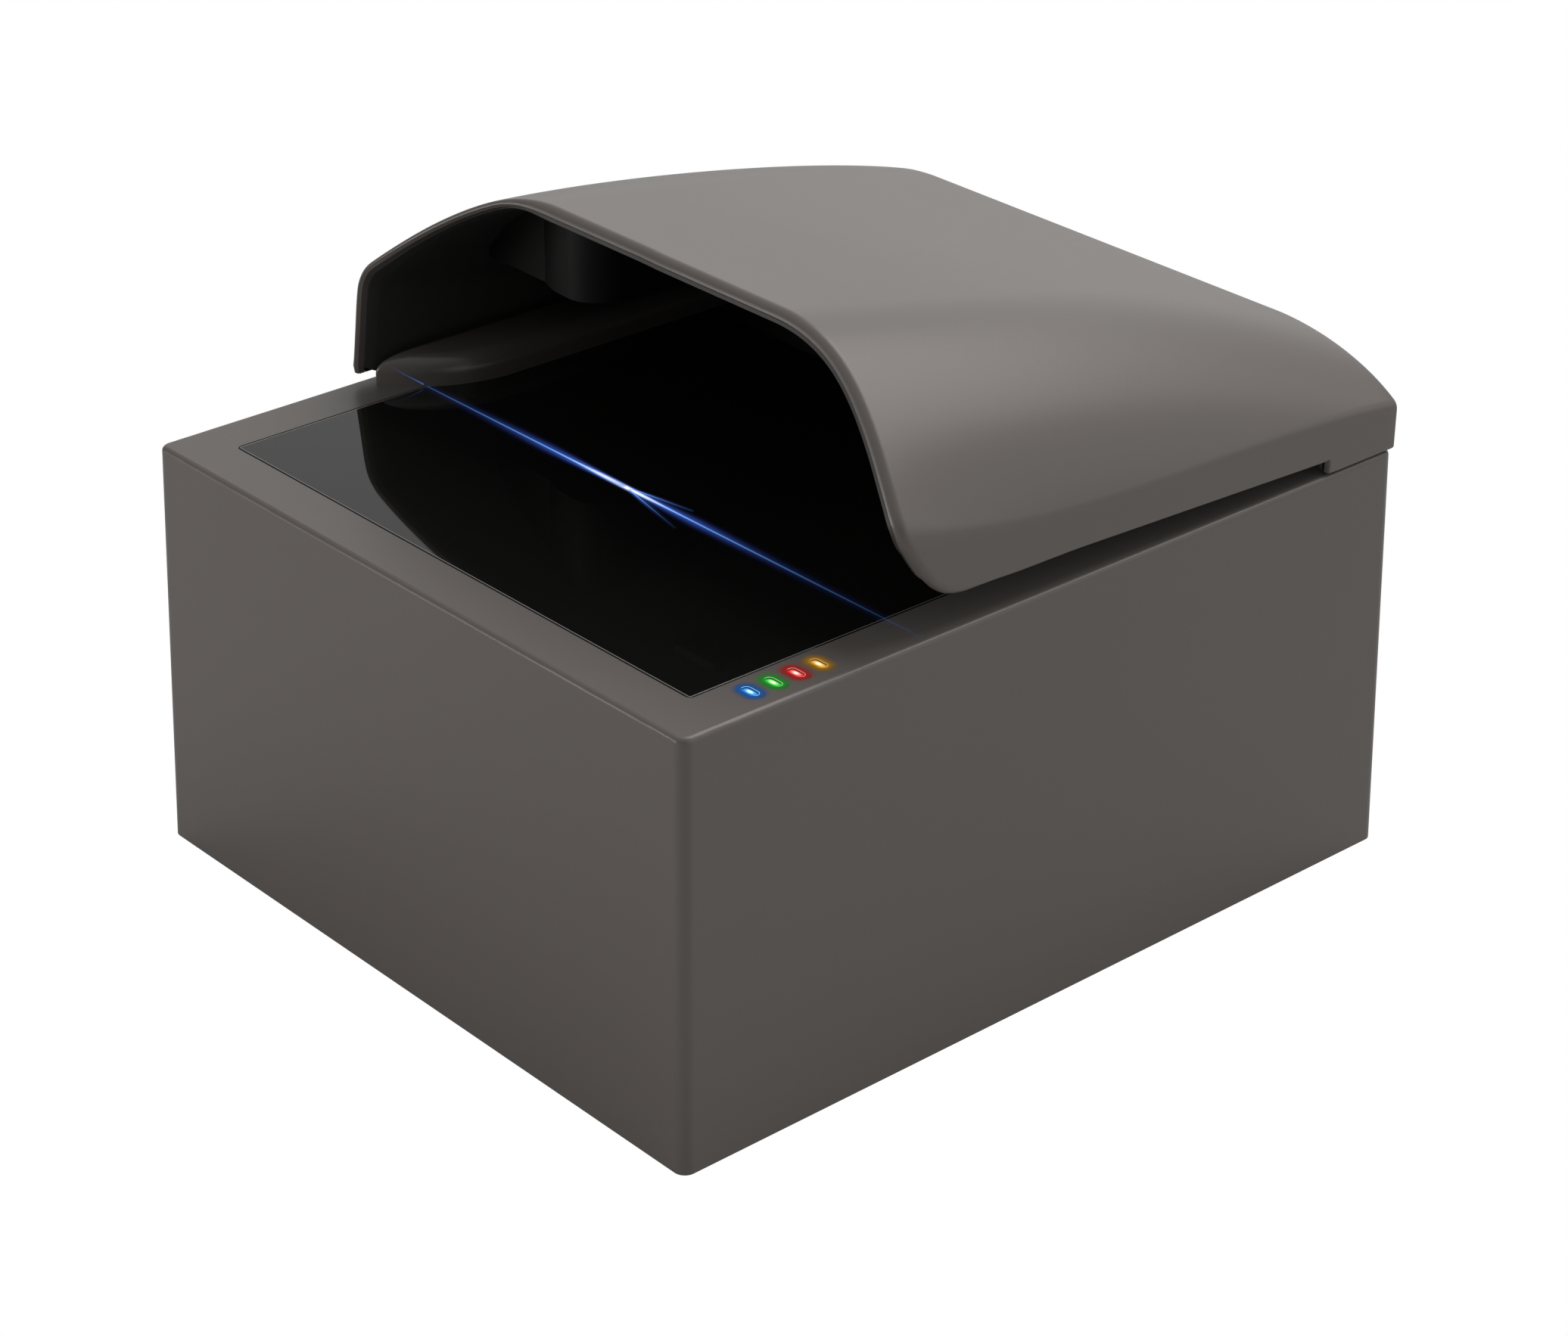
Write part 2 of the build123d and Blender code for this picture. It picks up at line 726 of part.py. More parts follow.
# Optical chassis: flange, box, shelf and funnel
with BuildPart() as optical_chassis:
    with BuildSketch(Plane.XY.offset(flange_level)):
        with Locations((0, glass_y)):
            Rectangle(frame_width - flange_inset, frame_depth - flange_inset)
        with Locations((lamp_space_x, lamp_middle_y)):
            Rectangle(lamp_space_width, lamp_space_depth, mode=Mode.SUBTRACT)
        with Locations(*chassis_screw_places):
            Circle(m3_diameter / 2 + shank_gap, mode=Mode.SUBTRACT)
    extrude(amount=flange_thickness)
    with BuildSketch(Plane.XY.offset(chassis_shelf)):
        with Locations((0, glass_y)):
            Rectangle(chassis_width, chassis_depth)
    extrude(amount=flange_level + flange_thickness - chassis_shelf)
    with BuildSketch(Plane.XY.offset(chassis_shelf + shelf_thickness)):
        with Locations((0, glass_y)):
            Rectangle(chassis_width - 2 * chassis_wall, chassis_depth - 2 * chassis_wall)
    extrude(amount=top_level - chassis_shelf, mode=Mode.SUBTRACT)
    with BuildSketch(Plane.XY.offset(chassis_shelf)):
        with Locations((0, glass_y)):
            Rectangle(funnel_top_width + 2 * chassis_wall, funnel_top_depth + 2 * chassis_wall)
    with BuildSketch(Plane.XY.offset(funnel_level)):
        with Locations((0, glass_y)):
            Rectangle(funnel_bottom, funnel_bottom)
    loft(ruled=True)
    with BuildSketch(Plane.XY.offset(funnel_level - shelf_thickness)):
        with Locations((0, glass_y)):
            Rectangle(funnel_bottom + funnel_foot, funnel_bottom + funnel_foot)
    extrude(amount=shelf_thickness)
    with BuildSketch(Plane.XY.offset(chassis_shelf + shelf_thickness)):
        with Locations((0, glass_y)):
            Rectangle(funnel_top_width, funnel_top_depth)
    with BuildSketch(Plane.XY.offset(funnel_level)):
        with Locations((0, glass_y)):
            Rectangle(funnel_bottom - 2 * chassis_wall, funnel_bottom - 2 * chassis_wall)
    loft(ruled=True, mode=Mode.SUBTRACT)
    with BuildSketch(Plane.XY.offset(funnel_level)):
        with Locations((0, glass_y)):
            Circle(camera_hole / 2)
    extrude(amount=-shelf_thickness, mode=Mode.SUBTRACT)
    with BuildSketch(Plane.XY.offset(funnel_level - shelf_thickness)):
        with Locations(*camera_screw_places):
            Circle(m2_diameter / 2 + thread_gap)
    extrude(amount=shelf_thickness, mode=Mode.SUBTRACT)
optical_chassis.part.label = "optical_chassis"
export_step(optical_chassis.part, "parts/optical_chassis.step")

screw_set(
    chassis_screw_places,
    flange_level,
    m3_head,
    m3_head_height,
    m3_diameter,
    frame_level + frame_screw_reach,
    "chassis_screws",
)

# Illumination boards and diffusers on both sides of the window
for name, side in (("left", -1), ("right", 1)):
    wall_x = side * (chassis_width / 2 - chassis_wall)
    with BuildPart() as strip:
        with BuildSketch(Plane.XY.offset(strip_level)):
            with Locations((wall_x - side * strip_thickness / 2, glass_y)):
                Rectangle(strip_thickness, strip_length)
        extrude(amount=strip_height)
        with BuildSketch(Plane.YZ.offset(wall_x - side * strip_thickness)):
            with Locations((glass_y, strip_level + strip_height / 2)):
                with GridLocations(strip_length / source_count, strip_rows_apart, source_count, 2):
                    Rectangle(strip_source[0], strip_source[1])
        extrude(amount=-side * strip_source[2])
    strip.part.label = f"illumination_board_{name}"
    export_step(strip.part, f"parts/illumination_board_{name}.step")
    with BuildPart() as diffuser:
        with BuildSketch(Plane.XY.offset(chassis_shelf + shelf_thickness)):
            with Locations((side * diffuser_x, glass_y)):
                Rectangle(diffuser_thickness, strip_length + diffuser_overlap)
        extrude(amount=flange_level - chassis_shelf - shelf_thickness)
    diffuser.part.label = f"diffuser_{name}"
    export_step(diffuser.part, f"parts/diffuser_{name}.step")

# Camera board with its sensor
with BuildPart() as camera_board:
    with BuildSketch(Plane.XY.offset(camera_level)):
        with Locations((0, glass_y)):
            Rectangle(camera_size, camera_size)
        with Locations(*camera_screw_places):
            Circle(m2_diameter / 2 + small_shank_gap, mode=Mode.SUBTRACT)
    extrude(amount=board_thickness)
    with BuildSketch(Plane.XY.offset(camera_level + board_thickness)):
        with Locations((0, glass_y)):
            Rectangle(sensor[0], sensor[1])
    extrude(amount=sensor[2])
camera_board.part.label = "camera_board"
export_step(camera_board.part, "parts/camera_board.step")

screw_set(
    camera_screw_places,
    camera_level,
    m2_head,
    m2_head_height,
    m2_diameter,
    funnel_level - 0.2,
    "camera_screws",
)

# Lens holder
holder_level = camera_level + board_thickness
with BuildPart() as lens_holder:
    with BuildSketch(Plane.XY.offset(holder_level)):
        with Locations((0, glass_y)):
            RectangleRounded(holder_size, holder_size, holder_corner)
    extrude(amount=holder_base)
    with BuildSketch(Plane.XY.offset(holder_level)):
        with Locations((0, glass_y)):
            Circle(holder_radius)
    extrude(amount=holder_height)
    with BuildSketch(Plane.XY.offset(holder_level)):
        with Locations((0, glass_y)):
            Rectangle(sensor_space, sensor_space)
    extrude(amount=sensor_space_height, mode=Mode.SUBTRACT)
    with BuildSketch(Plane.XY.offset(holder_level)):
        with Locations((0, glass_y)):
            Circle(holder_bore)
    extrude(amount=holder_height, mode=Mode.SUBTRACT)
lens_holder.part.label = "lens_holder"
export_step(lens_holder.part, "parts/lens_holder.step")

# Lens barrel
with BuildPart() as lens_barrel:
    with BuildSketch(Plane.XY.offset(holder_level + barrel_start)):
        with Locations((0, glass_y)):
            Circle(barrel_width)
    extrude(amount=barrel_length)
    with BuildSketch(Plane.XY.offset(holder_level + cap_start)):
        with Locations((0, glass_y)):
            Circle(cap_radius)
    extrude(amount=cap_length)
    chamfer(lens_barrel.faces().sort_by(Axis.Z)[-1].edges(), length=cap_bevel)
    with BuildSketch(Plane.XY.offset(holder_level + cap_start + cap_length)):
        with Locations((0, glass_y)):
            Circle(lens_bore)
    extrude(amount=-lens_bore_depth, mode=Mode.SUBTRACT)
lens_barrel.part.label = "lens_barrel"
export_step(lens_barrel.part, "parts/lens_barrel.step")

# Front lens element
with BuildPart() as lens_element:
    with BuildSketch(Plane.XY.offset(holder_level + element_start)):
        with Locations((0, glass_y)):
            Circle(element_radius)
    extrude(amount=element_length)
    with Locations((0, glass_y, holder_level + dome_rise - dome_radius)):
        Sphere(dome_radius, mode=Mode.INTERSECT)
lens_element.part.label = "lens_element"
export_step(lens_element.part, "parts/lens_element.step")

# Main board with its packages
board_top = board_level + board_thickness
with BuildPart() as main_board:
    with BuildSketch(Plane.XY.offset(board_level)):
        with Locations((0, board_y)):
            Rectangle(board_width, board_depth)
        with Locations(*board_screw_places):
            Circle(m3_diameter / 2 + shank_gap, mode=Mode.SUBTRACT)
    extrude(amount=board_thickness)
    with BuildSketch(Plane.XY.offset(board_top)):
        with Locations((-2.0, board_y - 10.0)):
            Rectangle(processor[0], processor[1])
        with Locations((24.0, board_y - 8.0), (24.0, board_y + 4.0)):
            Rectangle(memory[0], memory[1])
    extrude(amount=chip_height)
    with BuildSketch(Plane.XY.offset(board_top)):
        with Locations((-34.0, board_y - 10.0)):
            Rectangle(module[0], module[1])
    extrude(amount=module_height)
    with BuildSketch(Plane.XY.offset(board_top)):
        with Locations((40.0, board_y + 6.0), (40.0, board_y + 16.0)):
            Circle(capacitor_radius)
    extrude(amount=capacitor_height)
main_board.part.label = "main_board"
export_step(main_board.part, "parts/main_board.step")

screw_set(
    board_screw_places,
    board_top,
    m3_head,
    m3_head_height,
    m3_diameter,
    board_level - standoff_screw_depth + clearance,
    "board_screws",
)

# Flat cable from the camera board to the main board
cable_start_y = glass_y + camera_size / 2 - 5.0
cable_end_y = board_y - board_depth / 2 + 3.0
with BuildPart() as camera_cable:
    with BuildSketch(Plane.YZ.offset(-cable_width / 2)):
        with BuildLine():
            start_high = (cable_start_y, camera_level - cable_drop)
            start_low = (cable_start_y, camera_level - cable_drop - cable_thickness)
            end_low = (cable_end_y, board_top + cable_drop)
            end_high = (cable_end_y, board_top + cable_drop + cable_thickness)
            Spline([start_low, end_low], tangents=[(1, 0), (1, 0)])
            Line(end_low, end_high)
            Spline([end_high, start_high], tangents=[(-1, 0), (-1, 0)])
            Line(start_high, start_low)
        make_face()
    extrude(amount=cable_width)
    with BuildSketch(Plane.XY.offset(camera_level)):
        with Locations((0, cable_start_y)):
            Rectangle(cable_width + plug_margin, plug_depth)
    extrude(amount=-plug_height)
    with BuildSketch(Plane.XY.offset(board_top)):
        with Locations((0, cable_end_y)):
            Rectangle(cable_width + plug_margin, plug_depth)
    extrude(amount=plug_height)
camera_cable.part.label = "camera_cable"
export_step(camera_cable.part, "parts/camera_cable.step")

# Data socket
with BuildPart() as usb_socket:
    with BuildSketch(Plane.XZ.offset(-socket_face)):
        with Locations((usb_x, board_top + usb_height / 2)):
            Rectangle(usb_width, usb_height)
    extrude(amount=usb_depth)
    with BuildSketch(Plane.XZ.offset(-socket_face)):
        with Locations((usb_x, board_top + usb_height / 2)):
            Rectangle(usb_mouth[0], usb_mouth[1])
            Rectangle(usb_tongue[0], usb_tongue[1], mode=Mode.SUBTRACT)
    extrude(amount=socket_bore, mode=Mode.SUBTRACT)
usb_socket.part.label = "usb_socket"
export_step(usb_socket.part, "parts/usb_socket.step")

# Power socket
with BuildPart() as power_socket:
    with BuildSketch(Plane.XZ.offset(-socket_face)):
        with Locations((power_x, board_top + power_height / 2)):
            Rectangle(power_width, power_height)
    extrude(amount=power_depth)
    with BuildSketch(Plane.XZ.offset(-socket_face)):
        with Locations((power_x, board_top + power_height / 2 + power_bore_rise)):
            Circle(power_bore)
            Circle(power_pin, mode=Mode.SUBTRACT)
    extrude(amount=socket_bore, mode=Mode.SUBTRACT)
power_socket.part.label = "power_socket"
export_step(power_socket.part, "parts/power_socket.step")

# Hinge pins
with BuildPart() as hinge_pins:
    for x in hinge_places:
        with BuildSketch(Plane.YZ.offset(x - pin_length / 2)):
            with Locations((hinge_y, hinge_z)):
                Circle(pin_diameter / 2)
        extrude(amount=pin_length)
hinge_pins.part.label = "hinge_pins"
export_step(hinge_pins.part, "parts/hinge_pins.step")

# Hood shell with its lip, side openings and hinge knuckles
edge_cuts = hood_edge_cuts()
hood_floor = top_level + hood_gap
open_floor = hood_floor - 3.0
mouth_reach = 9.0
lug_height = 3.0
block_top = 40.0
with BuildPart() as hood_shell:
    add(hood_form(0.0, 0.0, hood_floor))
    lip_faces = hood_shell.faces().filter_by(GeomType.PLANE, reverse=True).sort_by(Axis.Y)
    lip_edges = lip_faces[0].edges().filter_by_position(Axis.Z, hood_floor + 0.5, 200.0)
    fillet(lip_edges, radius=lip_round)
    add(hood_form(lip_thickness, -mouth_reach, open_floor), mode=Mode.SUBTRACT)
    add(hood_form(shell_thickness, lip_length, open_floor), mode=Mode.SUBTRACT)
    add(edge_cuts, mode=Mode.SUBTRACT)
    for x in hinge_places:
        with BuildSketch(Plane.YZ.offset(x - knuckle_length / 2)):
            with Locations((hinge_y, hinge_z)):
                Circle(barrel_radius)
            with Locations((hinge_y - barrel_radius, hinge_z)):
                Rectangle(
                    front + hood_back - hinge_y + barrel_radius,
                    hood_floor - hinge_z,
                    align=(Align.MIN, Align.MIN),
                )
            with Locations((front + hood_back, hood_floor)):
                Rectangle(shell_thickness, lug_height, align=(Align.MAX, Align.MIN))
        extrude(amount=knuckle_length)
        with BuildSketch(Plane.YZ.offset(x - knuckle_length / 2)):
            with Locations((hinge_y, hinge_z)):
                Circle(pin_diameter / 2 + pin_fit)
        extrude(amount=knuckle_length, mode=Mode.SUBTRACT)
hood_shell.part.label = "hood_shell"
export_step(hood_shell.part, "parts/hood_shell.step")

# Dark liner inside the hood
with BuildPart() as hood_liner:
    add(hood_form(shell_thickness + liner_gap, lip_length + 0.1, hood_floor + 0.2))
    add(hood_form(lip_thickness, -mouth_reach, open_floor), mode=Mode.SUBTRACT)
    add(edge_cuts, mode=Mode.SUBTRACT)
hood_liner.part.label = "hood_liner"
export_step(hood_liner.part, "parts/hood_liner.step")

hood_space = hood_form(lip_thickness + liner_gap, lip_length, hood_floor)

# Hanging block on the hood's left side
with BuildPart() as hood_insert:
    with BuildSketch(Plane.XY.offset(top_level + insert_level)):
        with BuildLine():
            outer = (insert_left, front + insert_front)
            edge = (insert_edge, front + insert_front)
            nose = (insert_right - insert_round, front + insert_front - insert_bulge)
            rear_y = front + insert_rear
            Line(outer, edge)
            Spline([edge, nose], tangents=[(0.9, -0.5), (1, 0)])
            turn = JernArc(nose, (1, 0), insert_round, 90)
            Line(turn @ 1, (insert_right, rear_y))
            Line((insert_right, rear_y), (insert_left, rear_y))
            Line((insert_left, rear_y), outer)
        make_face()
    extrude(amount=block_top)
    add(hood_space, mode=Mode.INTERSECT)
hood_insert.part.label = "hood_insert"
export_step(hood_insert.part, "parts/hood_insert.step")

# Positioning line projector under the front of the roof
with BuildPart() as line_projector:
    with BuildSketch(Plane.XY.offset(top_level + projector_level)):
        with Locations((projector_x, front + projector_y)):
            RectangleRounded(projector_width, projector_depth, projector_corner)
    extrude(amount=block_top)
    add(hood_space, mode=Mode.INTERSECT)
    with BuildSketch(Plane.XY.offset(top_level + projector_level)):
        with Locations((projector_x, front + projector_y)):
            Circle(projector_bore)
    extrude(amount=projector_bore_depth, mode=Mode.SUBTRACT)
line_projector.part.label = "line_projector"
export_step(line_projector.part, "parts/line_projector.step")

# Projector lens
with BuildPart() as projector_lens:
    with BuildSketch(Plane.XY.offset(top_level + projector_level + projector_lens_rise)):
        with Locations((projector_x, front + projector_y)):
            Circle(projector_lens_radius)
    extrude(amount=projector_bore_depth - projector_lens_rise - liner_gap)
projector_lens.part.label = "projector_lens"
export_step(projector_lens.part, "parts/projector_lens.step")
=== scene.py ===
"""Looks of a travel document scanner: a drafted housing, a dark window and an arched hood."""

import json
import logging
import math
from dataclasses import dataclass, field
from enum import Enum
from typing import Sequence

import bmesh
import bpy
import numpy as np
from mathutils import Matrix, Vector


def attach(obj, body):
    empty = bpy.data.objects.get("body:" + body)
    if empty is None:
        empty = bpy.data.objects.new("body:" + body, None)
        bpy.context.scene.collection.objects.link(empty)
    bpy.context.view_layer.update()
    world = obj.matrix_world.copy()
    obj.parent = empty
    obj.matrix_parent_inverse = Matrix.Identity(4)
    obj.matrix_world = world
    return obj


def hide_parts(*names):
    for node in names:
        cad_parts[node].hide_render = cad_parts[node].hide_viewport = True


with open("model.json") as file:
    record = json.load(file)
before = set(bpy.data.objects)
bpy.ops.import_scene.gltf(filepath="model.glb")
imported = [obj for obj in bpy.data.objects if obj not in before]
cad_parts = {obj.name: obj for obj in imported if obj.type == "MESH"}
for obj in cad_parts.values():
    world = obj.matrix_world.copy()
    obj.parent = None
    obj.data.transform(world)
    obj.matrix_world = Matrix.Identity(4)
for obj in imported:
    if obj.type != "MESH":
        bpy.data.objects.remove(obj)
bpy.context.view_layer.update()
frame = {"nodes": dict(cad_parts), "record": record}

MM = 0.001
TOP = 93.06
FRONT = -95.0
QUARTER = math.pi / 2
WHITE = (1.0, 1.0, 1.0, 1.0)
BLACK = (0.0, 0.0, 0.0, 1.0)
GRAIN_DEPTH = 0.0002

Pair = tuple[float, float]
Triple = tuple[float, float, float]
Effects = dict[str, bpy.types.NodeTree]

log = logging.getLogger("scanner")


class Body(Enum):
    """CAD bodies that pieces ride on."""

    HOUSING = "housing"
    HOOD = "hood"


@dataclass
class Wire:
    """A value on its way through a node tree, so that nodes are written like a formula.

    Args:
        tree: the writer of the tree that it is in.
        socket: the socket that carries it.
    """

    tree: "Tree"
    socket: bpy.types.NodeSocket

    def __add__(self, other: object) -> "Wire":
        """Adds a number or a wire."""
        return self.tree.math("ADD", self, other)

    def __sub__(self, other: object) -> "Wire":
        """Takes away a number or a wire."""
        return self.tree.math("SUBTRACT", self, other)

    def __mul__(self, other: object) -> "Wire":
        """Multiplies by a number or a wire."""
        return self.tree.math("MULTIPLY", self, other)

    def __truediv__(self, other: object) -> "Wire":
        """Divides by a number or a wire."""
        return self.tree.math("DIVIDE", self, other)

    def clamp(self) -> "Wire":
        """Keeps it between 0 and 1."""
        return self.tree.math("ADD", self, 0.0, clamp=True)

    def bell(self, sharp: float = 1.0) -> "Wire":
        """Reads a bell curve, which is 1 where the wire is 0."""
        return self.tree.math("EXPONENT", self * self * -sharp)


@dataclass
class Tree:
    """Short way to write a shader node tree.

    Args:
        tree: the node tree that is filled.
    """

    tree: bpy.types.NodeTree

    def fill(self, node: bpy.types.Node, inputs: dict) -> None:
        """Sets a node's inputs.

        Args:
            node: the node.
            inputs: socket name or index to a value, or to a wire or socket to link from.
        """
        for name, value in inputs.items():
            value = value.socket if isinstance(value, Wire) else value
            if isinstance(value, bpy.types.NodeSocket):
                self.tree.links.new(value, node.inputs[name])
            else:
                node.inputs[name].default_value = value

    def add(self, kind: str, inputs: dict | None = None, **settings: object) -> bpy.types.Node:
        """Adds a shader node.

        Args:
            kind: the node's type, without the leading ShaderNode.
            inputs: its inputs, as in fill.
            settings: node attributes to set.

        Returns:
            The new node.
        """
        node = self.tree.nodes.new(f"ShaderNode{kind}")
        for name, value in settings.items():
            setattr(node, name, value)
        self.fill(node, inputs or {})
        return node

    def group(self, effect: bpy.types.NodeTree, inputs: dict) -> bpy.types.bpy_prop_collection:
        """Adds a shared effect, sets its inputs and gives its outputs."""
        return self.add("Group", inputs, node_tree=effect).outputs

    def math(self, operation: str, a: object, b: object = 0.0, clamp: bool = False) -> Wire:
        """Works out a math operation on numbers or wires, kept between 0 and 1 if that is asked."""
        return Wire(self, self.add("Math", {0: a, 1: b}, operation=operation, use_clamp=clamp).outputs[0])

    def vector(self, operation: str, a: object, b: object = (0.0, 0.0, 0.0)) -> Wire:
        """Works out a vector operation: a number for a length or a dot product, a direction otherwise."""
        node = self.add("VectorMath", {0: a, 1: b}, operation=operation)
        return Wire(self, node.outputs["Value" if operation in ("LENGTH", "DOT_PRODUCT") else "Vector"])

    def ramp(self, value: object, low: object, high: object, out_low: float, out_high: float) -> Wire:
        """Maps a value smoothly from the range between low and high to the one between the results."""
        ends = {"Value": value, "From Min": low, "From Max": high, "To Min": out_low, "To Max": out_high}
        return Wire(self, self.add("MapRange", ends, interpolation_type="SMOOTHSTEP").outputs["Result"])

    def blend(self, share: Wire, first: object, second: object) -> Wire:
        """Mixes two colours: the first where the share is 0, the second where it is 1."""
        node = self.add("Mix", {"Factor": share, "A": first, "B": second}, data_type="RGBA")
        return Wire(self, node.outputs["Result"])

    def brighten(self, colour: Wire, level: object) -> Wire:
        """Multiplies a colour by a level."""
        return Wire(self, self.add("VectorMath", {0: colour, "Scale": level}, operation="SCALE").outputs[0])

    def place(self) -> bpy.types.NodeSocket:
        """Reads the shaded point's place on the object."""
        return self.add("TexCoord").outputs["Object"]

    def noise(self, scale: object, detail: float) -> Wire:
        """Reads a noise of a scale and a number of octaves."""
        node = self.add("TexNoise", {"Vector": self.place(), "Scale": scale, "Detail": detail})
        return Wire(self, node.outputs["Fac"])

    def show_camera(self, shader: bpy.types.NodeSocket, shown: bpy.types.NodeSocket) -> bpy.types.NodeSocket:
        """Mixes a shader that lights the scene with one that is shown to the camera itself."""
        camera = self.add("LightPath").outputs["Is Camera Ray"]
        return self.add("MixShader", {0: camera, 1: shader, 2: shown}).outputs[0]


class Effect(Tree):
    """A shared shader effect, written as a node group."""

    def __init__(self, name: str, inputs: dict[str, object], outputs: Sequence[str]) -> None:
        """Makes the group with its sockets.

        Args:
            name: the group's name.
            inputs: input names to their default values: a number, a direction or a colour.
            outputs: names of the results, of which Color is a colour and the others are numbers.
        """
        super().__init__(bpy.data.node_groups.new(name, "ShaderNodeTree"))
        kinds = {1: "NodeSocketFloat", 3: "NodeSocketVector", 4: "NodeSocketColor"}
        interface = self.tree.interface
        for label, default in inputs.items():
            socket = interface.new_socket(name=label, in_out="INPUT", socket_type=kinds[np.size(default)])
            socket.default_value = default
        for label in outputs:
            interface.new_socket(name=label, in_out="OUTPUT", socket_type=kinds[4 if label == "Color" else 1])
        self.source = self.tree.nodes.new("NodeGroupInput")
        self.sink = self.tree.nodes.new("NodeGroupOutput")

    def __getitem__(self, name: str) -> Wire:
        """Reads one of the inputs."""
        return Wire(self, self.source.outputs[name])

    def finish(self, results: dict[str, Wire]) -> bpy.types.NodeTree:
        """Links the results and gives the finished group."""
        self.fill(self.sink, results)
        return self.tree


def make_grain() -> bpy.types.NodeTree:
    """Builds the fine mould texture shared by the plastics.

    Returns:
        A group with Height and Roughness outputs.
    """
    effect = Effect(
        "Mould grain",
        {"Grain Scale": 1800.0, "Cloud Scale": 14.0, "Roughness": 0.5, "Roughness Spread": 0.05},
        ("Height", "Roughness"),
    )
    fine = effect.noise(effect["Grain Scale"], 2.0)
    cloud = effect.noise(effect["Cloud Scale"], 3.0)
    rough = effect["Roughness"] + (cloud - 0.5) * effect["Roughness Spread"]
    return effect.finish({"Height": fine, "Roughness": rough.clamp()})


def make_tint() -> bpy.types.NodeTree:
    """Builds the faint unevenness of a moulded surface's colour.

    Returns:
        A group with a Color output.
    """
    effect = Effect(
        "Moulded colour",
        {"Color": (0.1, 0.1, 0.1, 1.0), "Spread": 0.05, "Scale": 20.0},
        ("Color",),
    )
    value = (effect.noise(effect["Scale"], 4.0) - 0.5) * effect["Spread"] + 1.0
    tint = effect.add("HueSaturation", {"Color": effect["Color"], "Value": value})
    return effect.finish({"Color": tint.outputs["Color"]})


def make_glow() -> bpy.types.NodeTree:
    """Builds the glow of a lamp: a hot centre in a deep colour that fades outwards.

    Returns:
        A group with Color and Alpha outputs.
    """
    effect = Effect(
        "Lamp glow",
        {
            "Centre": (0.0, 0.0, 0.0), "Glow": (0.0, 0.2, 1.0, 1.0), "Hot": WHITE, "Core": 0.0005,
            "Straight": 0.0012, "Edge": 0.001, "Reach": 0.003, "Opacity": 1.0,
        },
        ("Color", "Alpha"),
    )
    core_shape = (0.5, 1.0, 0.0)
    fall, gain, bottom, power = 1.3, 0.8, 0.32, 1.5
    hidden, clear = 0.7, 1.05
    offset = effect.vector("SUBTRACT", effect.place(), effect["Centre"])
    heat = (effect.vector("LENGTH", effect.vector("MULTIPLY", offset, core_shape)) / effect["Core"]).bell()
    middle = effect.add("CombineXYZ", {"X": effect["Straight"]}).outputs[0]
    beyond = effect.vector("SUBTRACT", effect.vector("ABSOLUTE", offset), middle)
    level = effect.vector("MULTIPLY", effect.vector("MAXIMUM", beyond), (1.0, 1.0, 0.0))
    distance = effect.vector("LENGTH", level)
    body = distance / effect["Edge"]
    fade = effect.math("POWER", effect.ramp(distance, effect["Edge"], effect["Reach"], 1.0, 0.0), power)
    alpha = fade * effect.ramp(body, hidden, clear, 0.0, 1.0) * effect["Opacity"]
    colour = effect.blend(heat, effect["Glow"], effect["Hot"])
    lit = effect.brighten(colour, (heat + body.bell(fall)) * gain + bottom)
    return effect.finish({"Color": lit, "Alpha": alpha.clamp()})


def make_line() -> bpy.types.NodeTree:
    """Builds the look of a thin light line along X with a white-hot middle and a blue haze.

    Returns:
        A group with Color and Alpha outputs.
    """
    effect = Effect(
        "Light line",
        {"Middle": 0.0, "Run": 0.09, "Width": 0.0003, "Core": 0.015, "Level": 0.4},
        ("Color", "Alpha"),
    )
    swell, haze_width, haze_lean, haze_most = 2.0, 2.4, 0.03, 3.5
    near_fall, near_level, far_level = 3.4, 0.6, 0.05
    deep, pale, hot = (0.06, 0.12, 0.6, 1.0), (0.16, 0.45, 1.0, 1.0), (0.97, 0.99, 1.0, 1.0)
    hot_share, gain = 1.2, 1.15
    parts = effect.add("SeparateXYZ", {0: effect.place()}).outputs
    across = Wire(effect, parts["Y"])
    along = effect.math("ABSOLUTE", Wire(effect, parts["X"]) - effect["Middle"])
    heat = (along / effect["Core"]).bell()
    share = along / effect["Run"]
    fade = effect.math("SUBTRACT", 1.0, share, clamp=True)
    line = (across / (effect["Width"] * (heat * swell + 1.0))).bell()
    lean = effect.math("MINIMUM", along * haze_lean, effect["Width"] * haze_most)
    haze = (across / (effect["Width"] * haze_width + lean)).bell()
    mist = haze * ((share * near_fall).bell() * near_level + fade * far_level)
    strong = (heat + fade * fade * effect["Level"]).clamp()
    blue = effect.blend(line, deep, pale)
    colour = effect.blend((line * (heat * hot_share)).clamp(), blue, hot)
    return effect.finish({"Color": effect.brighten(colour, gain), "Alpha": (line * strong + mist).clamp()})


def start_material(name: str) -> tuple[bpy.types.Material, Tree, bpy.types.Node]:
    """Starts a material.

    Args:
        name: the material's name.

    Returns:
        The material, the writer of its tree and its surface shader.
    """
    material = bpy.data.materials.new(name)
    material.use_nodes = True
    return material, Tree(material.node_tree), material.node_tree.nodes["Principled BSDF"]


